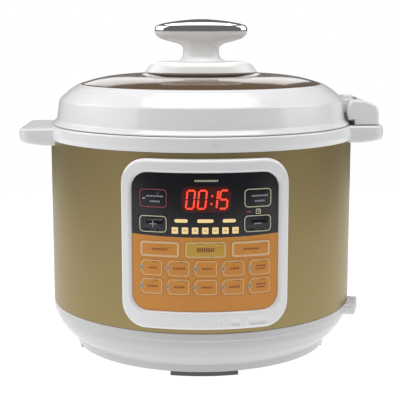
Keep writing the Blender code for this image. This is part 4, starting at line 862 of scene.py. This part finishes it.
def build_display():
    marks = Shape()
    low, tall, wide, stroke = 0.1546, 0.0152, 0.0064, 0.0016
    for text, start in (("0", -0.0166), ("0", -0.0068), ("1", 0.0026), ("5", 0.0112)):
        for segment in DIGITS[text]:
            across, up, flat = SEGMENTS[segment]
            a = start + across * wide
            b = low + up * tall
            lean = (b - low) * LEAN
            if flat:
                ink_bar(marks, a + lean, b, wide - 0.0011, stroke, 0, INK_HIGH)
            else:
                ink_bar(marks, a + lean, b, stroke, tall / 2.0 - 0.0010, 0, INK_HIGH, slant=LEAN * tall / 4.0)
    for b in (0.1586, 0.1652):
        ink_bar(marks, 0.0044 + (b - low) * LEAN, b, 0.0016, 0.0016, 0, INK_HIGH)
    marks.piece("display_digits", "root", RED_LIGHT, None)
    glow = Shape()
    glow.solid([rounded(-0.0205, 0.1515, 0.0215, 0.1730, 0.006)], 0.1470, PANEL_FACE + 0.00003, on_front,
               spacing=0.003)
    glow.piece("display_glow", "root", RED_GLOW, None)
    lights = Shape()
    for a, length in ((-0.0206, 0.0112), (-0.0002, 0.0138), (0.0199, 0.0112)):
        lights.solid([rounded(a - length / 2.0, 0.1428, a + length / 2.0, 0.1457, 0.0014)], INK_LOW, INK_HIGH,
                     on_front)
    for k in range(7):
        a = -0.0258 + 0.0085 * k
        lights.solid([rounded(a - 0.0027, 0.1333, a + 0.0027, 0.1388, 0.0004)], INK_LOW, INK_HIGH, on_front)
        ink_bar(lights, a, 0.1361, 0.0024, 0.0013, 1, INK_HIGH + 0.00006)
    lights.piece("panel_lights", "root", [WARM_LIGHT, PALE_INK], None)
    signs = Shape()
    ink_bar(signs, 0.0370, 0.1512, 0.0036, 0.0013, 0, INK_HIGH)
    ink_ring(signs, rounded(0.0430, 0.1491, 0.0474, 0.1534, 0.0008), 0.0006, 1, INK_HIGH)
    ink_bar(signs, 0.0452, 0.1523, 0.0006, 0.0018, 1, INK_HIGH)
    ink_bar(signs, 0.0459, 0.1514, 0.0020, 0.0006, 1, INK_HIGH)
    ink_row(signs, 0.0006, 0.1779, 0.0200, 0.0016, 1, INK_HIGH)
    signs.piece("panel_signs", "root", [RED_INK, CREAM_INK], None)


def build_panel():
    half, low, high, corner = PANEL_HALF, 0.0667, 0.1840, 0.0140
    edge = rounded(-0.0742, 0.0508, 0.0742, 0.1955, 0.0220)
    hole = rounded(-half - 0.0002, low - 0.0002, half + 0.0002, high + 0.0002, corner)
    Shape().solid([edge, hole], 0.1423, 0.1500, on_front, 0.0, 0.0036, 6, spacing=0.004,
                  corner_steps=12).piece(
        "bezel_frame", "root", WHITE, "white_plastic", "panel_bezel")
    seam = [(half * k / 20.0, split_height(half * k / 20.0)) for k in range(-20, 21)]
    outlines = {
        "display": seam + [(half, high, corner), (-half, high, corner)],
        "keys": seam + [(half, low, corner), (-half, low, corner)],
    }
    for part, made, slot in (("display", BLACK_GLOSS, "black_panel"), ("keys", ORANGE, "orange_panel")):
        holes = []
        for _, along, height, width, tall in key_places():
            if (height > SPLIT) == (part == "display"):
                w, h = width / 2.0 + 0.0002, tall / 2.0 + 0.0002
                holes.append(rounded(along - w, height - h, along + w, height + h, 0.0027))
        node = {"display": "display_panel", "keys": "key_panel"}[part]
        Shape().solid([outlines[part], *holes], 0.1463, PANEL_FACE, on_front, spacing=0.003,
                      corner_steps=12).piece(
            part + "_film", "root", made, slot, node)
    for place in key_places():
        build_key(*place)
    build_display()


# ---------------- fittings
def build_inlet():
    """The block with the socket, which faces a little towards the panel."""
    turn = math.radians(-13.0)

    def placed(a, b, d):
        return d * math.cos(turn) - a * math.sin(turn), d * math.sin(turn) + a * math.cos(turn), b

    block = Shape()
    body = rounded(-0.0175, 0.0353, 0.0175, 0.0455, 0.0030)
    mouth = rounded(-0.0150, 0.0370, 0.0150, 0.0438, 0.0020)
    block.solid([body], 0.1330, 0.1434, placed)
    block.solid([body, mouth], 0.1434, 0.1505, placed, 0.0, 0.0013, 4, ease_holes=0.12)
    block.piece("inlet_block", "root", WHITE, "white_plastic", "inlet_housing")


def build_pots():
    pot = in_mm([(0.0, 62.3), (105.5, 62.3, 9.0), (112.5, 69.3, 9.0), (112.5, 205.8, 0.8),
                 (116.5, 205.8, 0.4),
                 (116.5, 207.3, 0.6), (111.0, 207.3, 1.2), (111.0, 71.3, 9.0), (104.0, 64.3, 9.0),
                 (0.0, 64.3)])
    Shape().lathe(lengthened(eased(pot, 8)), steps=INNER_ROUND).piece("cooking_pot", "root", NON_STICK,
                                                                      "pot_coating",
                                                               "inner_pot")
    middle = in_mm([(5.5, 42.2), (117.0, 42.2, 3.0), (117.0, 204.0), (128.0, 204.0), (128.0, 215.8, 0.4),
                    (126.5, 215.8, 0.4), (126.5, 205.5, 0.8), (115.5, 205.5, 0.5), (115.5, 43.7, 2.0),
                    (5.5, 43.7)])
    shape = Shape().lathe(lengthened(eased(middle)), steps=INNER_ROUND)
    for k in range(6):
        shape.solid([sector(0.1180, 0.1272, 60.0 * k + 30.0, 12.0)], 0.2128, 0.2156, on_z, 0.0005, 0.0005)
    shape.piece("middle_pot", "root", ALUMINIUM, "aluminium", "outer_pot")


def keep_frame_nodes():
    for node, made, slot, bevel in (
        ("hinge_pin", STEEL, "steel", 0.0), ("heating_plate", ALUMINIUM, "aluminium", 0.0005),
        ("sensor_cap", STEEL, "steel", 0.0003), ("sensor_spring", STEEL, "steel", 0.0),
        ("thermal_fuse", STEEL, "steel", 0.0003), ("pressure_switch", BLACK_PLASTIC, "black_plastic", 0.0005),
        ("control_board", BOARD, "circuit_board", 0.0002),
                                    ("led_display", BLACK_PLASTIC, "black_plastic", 0.0002),
        ("keypad_membrane", SILICONE, "silicone", 0.0), ("inlet_pin_live", BRASS, "brass", 0.0003),
        ("inlet_pin_earth", BRASS, "brass", 0.0003), ("inlet_pin_neutral", BRASS, "brass", 0.0003),
        ("cup_bracket", WHITE, "white_plastic", 0.0003), ("condensate_cup", CLEAR_CUP, "clear_cup", 0.0003),
        ("vent_pipe", STEEL, "steel", 0.0002),
    ):
        keep(node, made, bevel)


# ---------------- studio
def softbox(name, azimuth, elevation, distance, width, height, radiance, aim=(0.0, 0.0, 0.15)):
    """A rectangular light aimed at the object. Azimuth 0 is the camera's side, and 90 is to the right."""
    data = bpy.data.lights.new(name, "AREA")
    data.shape = "RECTANGLE"
    data.size, data.size_y = width, height
    data.energy = radiance * math.pi * width * height
    lamp = linked(name, data)
    a, e = math.radians(azimuth), math.radians(elevation)
    away = Vector((math.sin(a) * math.cos(e), -math.cos(a) * math.cos(e), math.sin(e)))
    lamp.location = Vector(aim) + away * distance
    lamp.rotation_mode = "QUATERNION"
    lamp.rotation_quaternion = away.to_track_quat("Z", "Y")
    lamp.visible_camera = False


def build_studio():
    scene = bpy.context.scene
    scene.view_settings.view_transform = "Standard"
    world = bpy.data.worlds.new("studio")
    scene.world = world
    world.use_nodes = True
    tree = world.node_tree
    new, link = tree.nodes.new, tree.links.new
    tree.nodes.clear()
    seen, felt, choose = new("ShaderNodeBackground"), new("ShaderNodeBackground"), new("ShaderNodeMixShader")
    seen.inputs["Color"].default_value = (1.0, 1.0, 1.0, 1.0)
    felt.inputs["Color"].default_value = (1.0, 1.0, 1.0, 1.0)
    felt.inputs["Strength"].default_value = 0.16
    path, out = new("ShaderNodeLightPath"), new("ShaderNodeOutputWorld")
    link(path.outputs["Is Camera Ray"], choose.inputs["Fac"])
    link(felt.outputs["Background"], choose.inputs[1])
    link(seen.outputs["Background"], choose.inputs[2])
    link(choose.outputs["Shader"], out.inputs["Surface"])

    floor = bpy.data.meshes.new("floor")
    wide = 0.9
    floor.from_pydata([(-wide, -wide, 0.0), (wide, -wide, 0.0), (wide, wide, 0.0), (-wide, wide, 0.0)], [],
                      [(0, 1, 2, 3)])
    ground = linked("studio_floor", floor)
    paint = material("floor_paint", (0.10, 0.10, 0.10), 0.85, other=(0.09, 0.09, 0.09), cloud=3.0, bump=0.0,
                     specular=0.0, emission=(1.0, 1.0, 1.0), strength=1.0)
    floor.materials.append(paint)

    softbox("left_box", -84.0, 31.0, 1.25, 1.70, 1.00, 1.9)
    softbox("right_box", 84.0, 31.0, 1.25, 1.05, 1.00, 1.9)
    softbox("top_box", 0.0, 84.0, 1.15, 1.00, 0.90, 3.3)
    softbox("back_box", 180.0, 20.0, 1.60, 0.80, 0.50, 1.3)

    camera = linked("camera", bpy.data.cameras.new("camera"))
    camera.data.sensor_width = 36.0
    camera.data.lens = 95.64
    distance, height, turn, down = 1.0134, 0.3062, math.radians(1.5), 0.165
    pan = 1.0 / 1062.7          # radians that the camera looks to the side of the axis
    camera.location = (-distance * math.sin(turn), -distance * math.cos(turn), height)
    camera.rotation_euler = (math.pi / 2.0 - down, 0.0, -turn + pan)
    camera.data.clip_start, camera.data.clip_end = 0.05, 50.0
    scene.camera = camera


build_casing()
build_handles()
build_hinge()
build_lid()
build_window()
build_lid_inside()
build_valves()
build_knob()
build_panel()
build_inlet()
build_pots()
keep_frame_nodes()
build_studio()

bpy.context.view_layer.update()
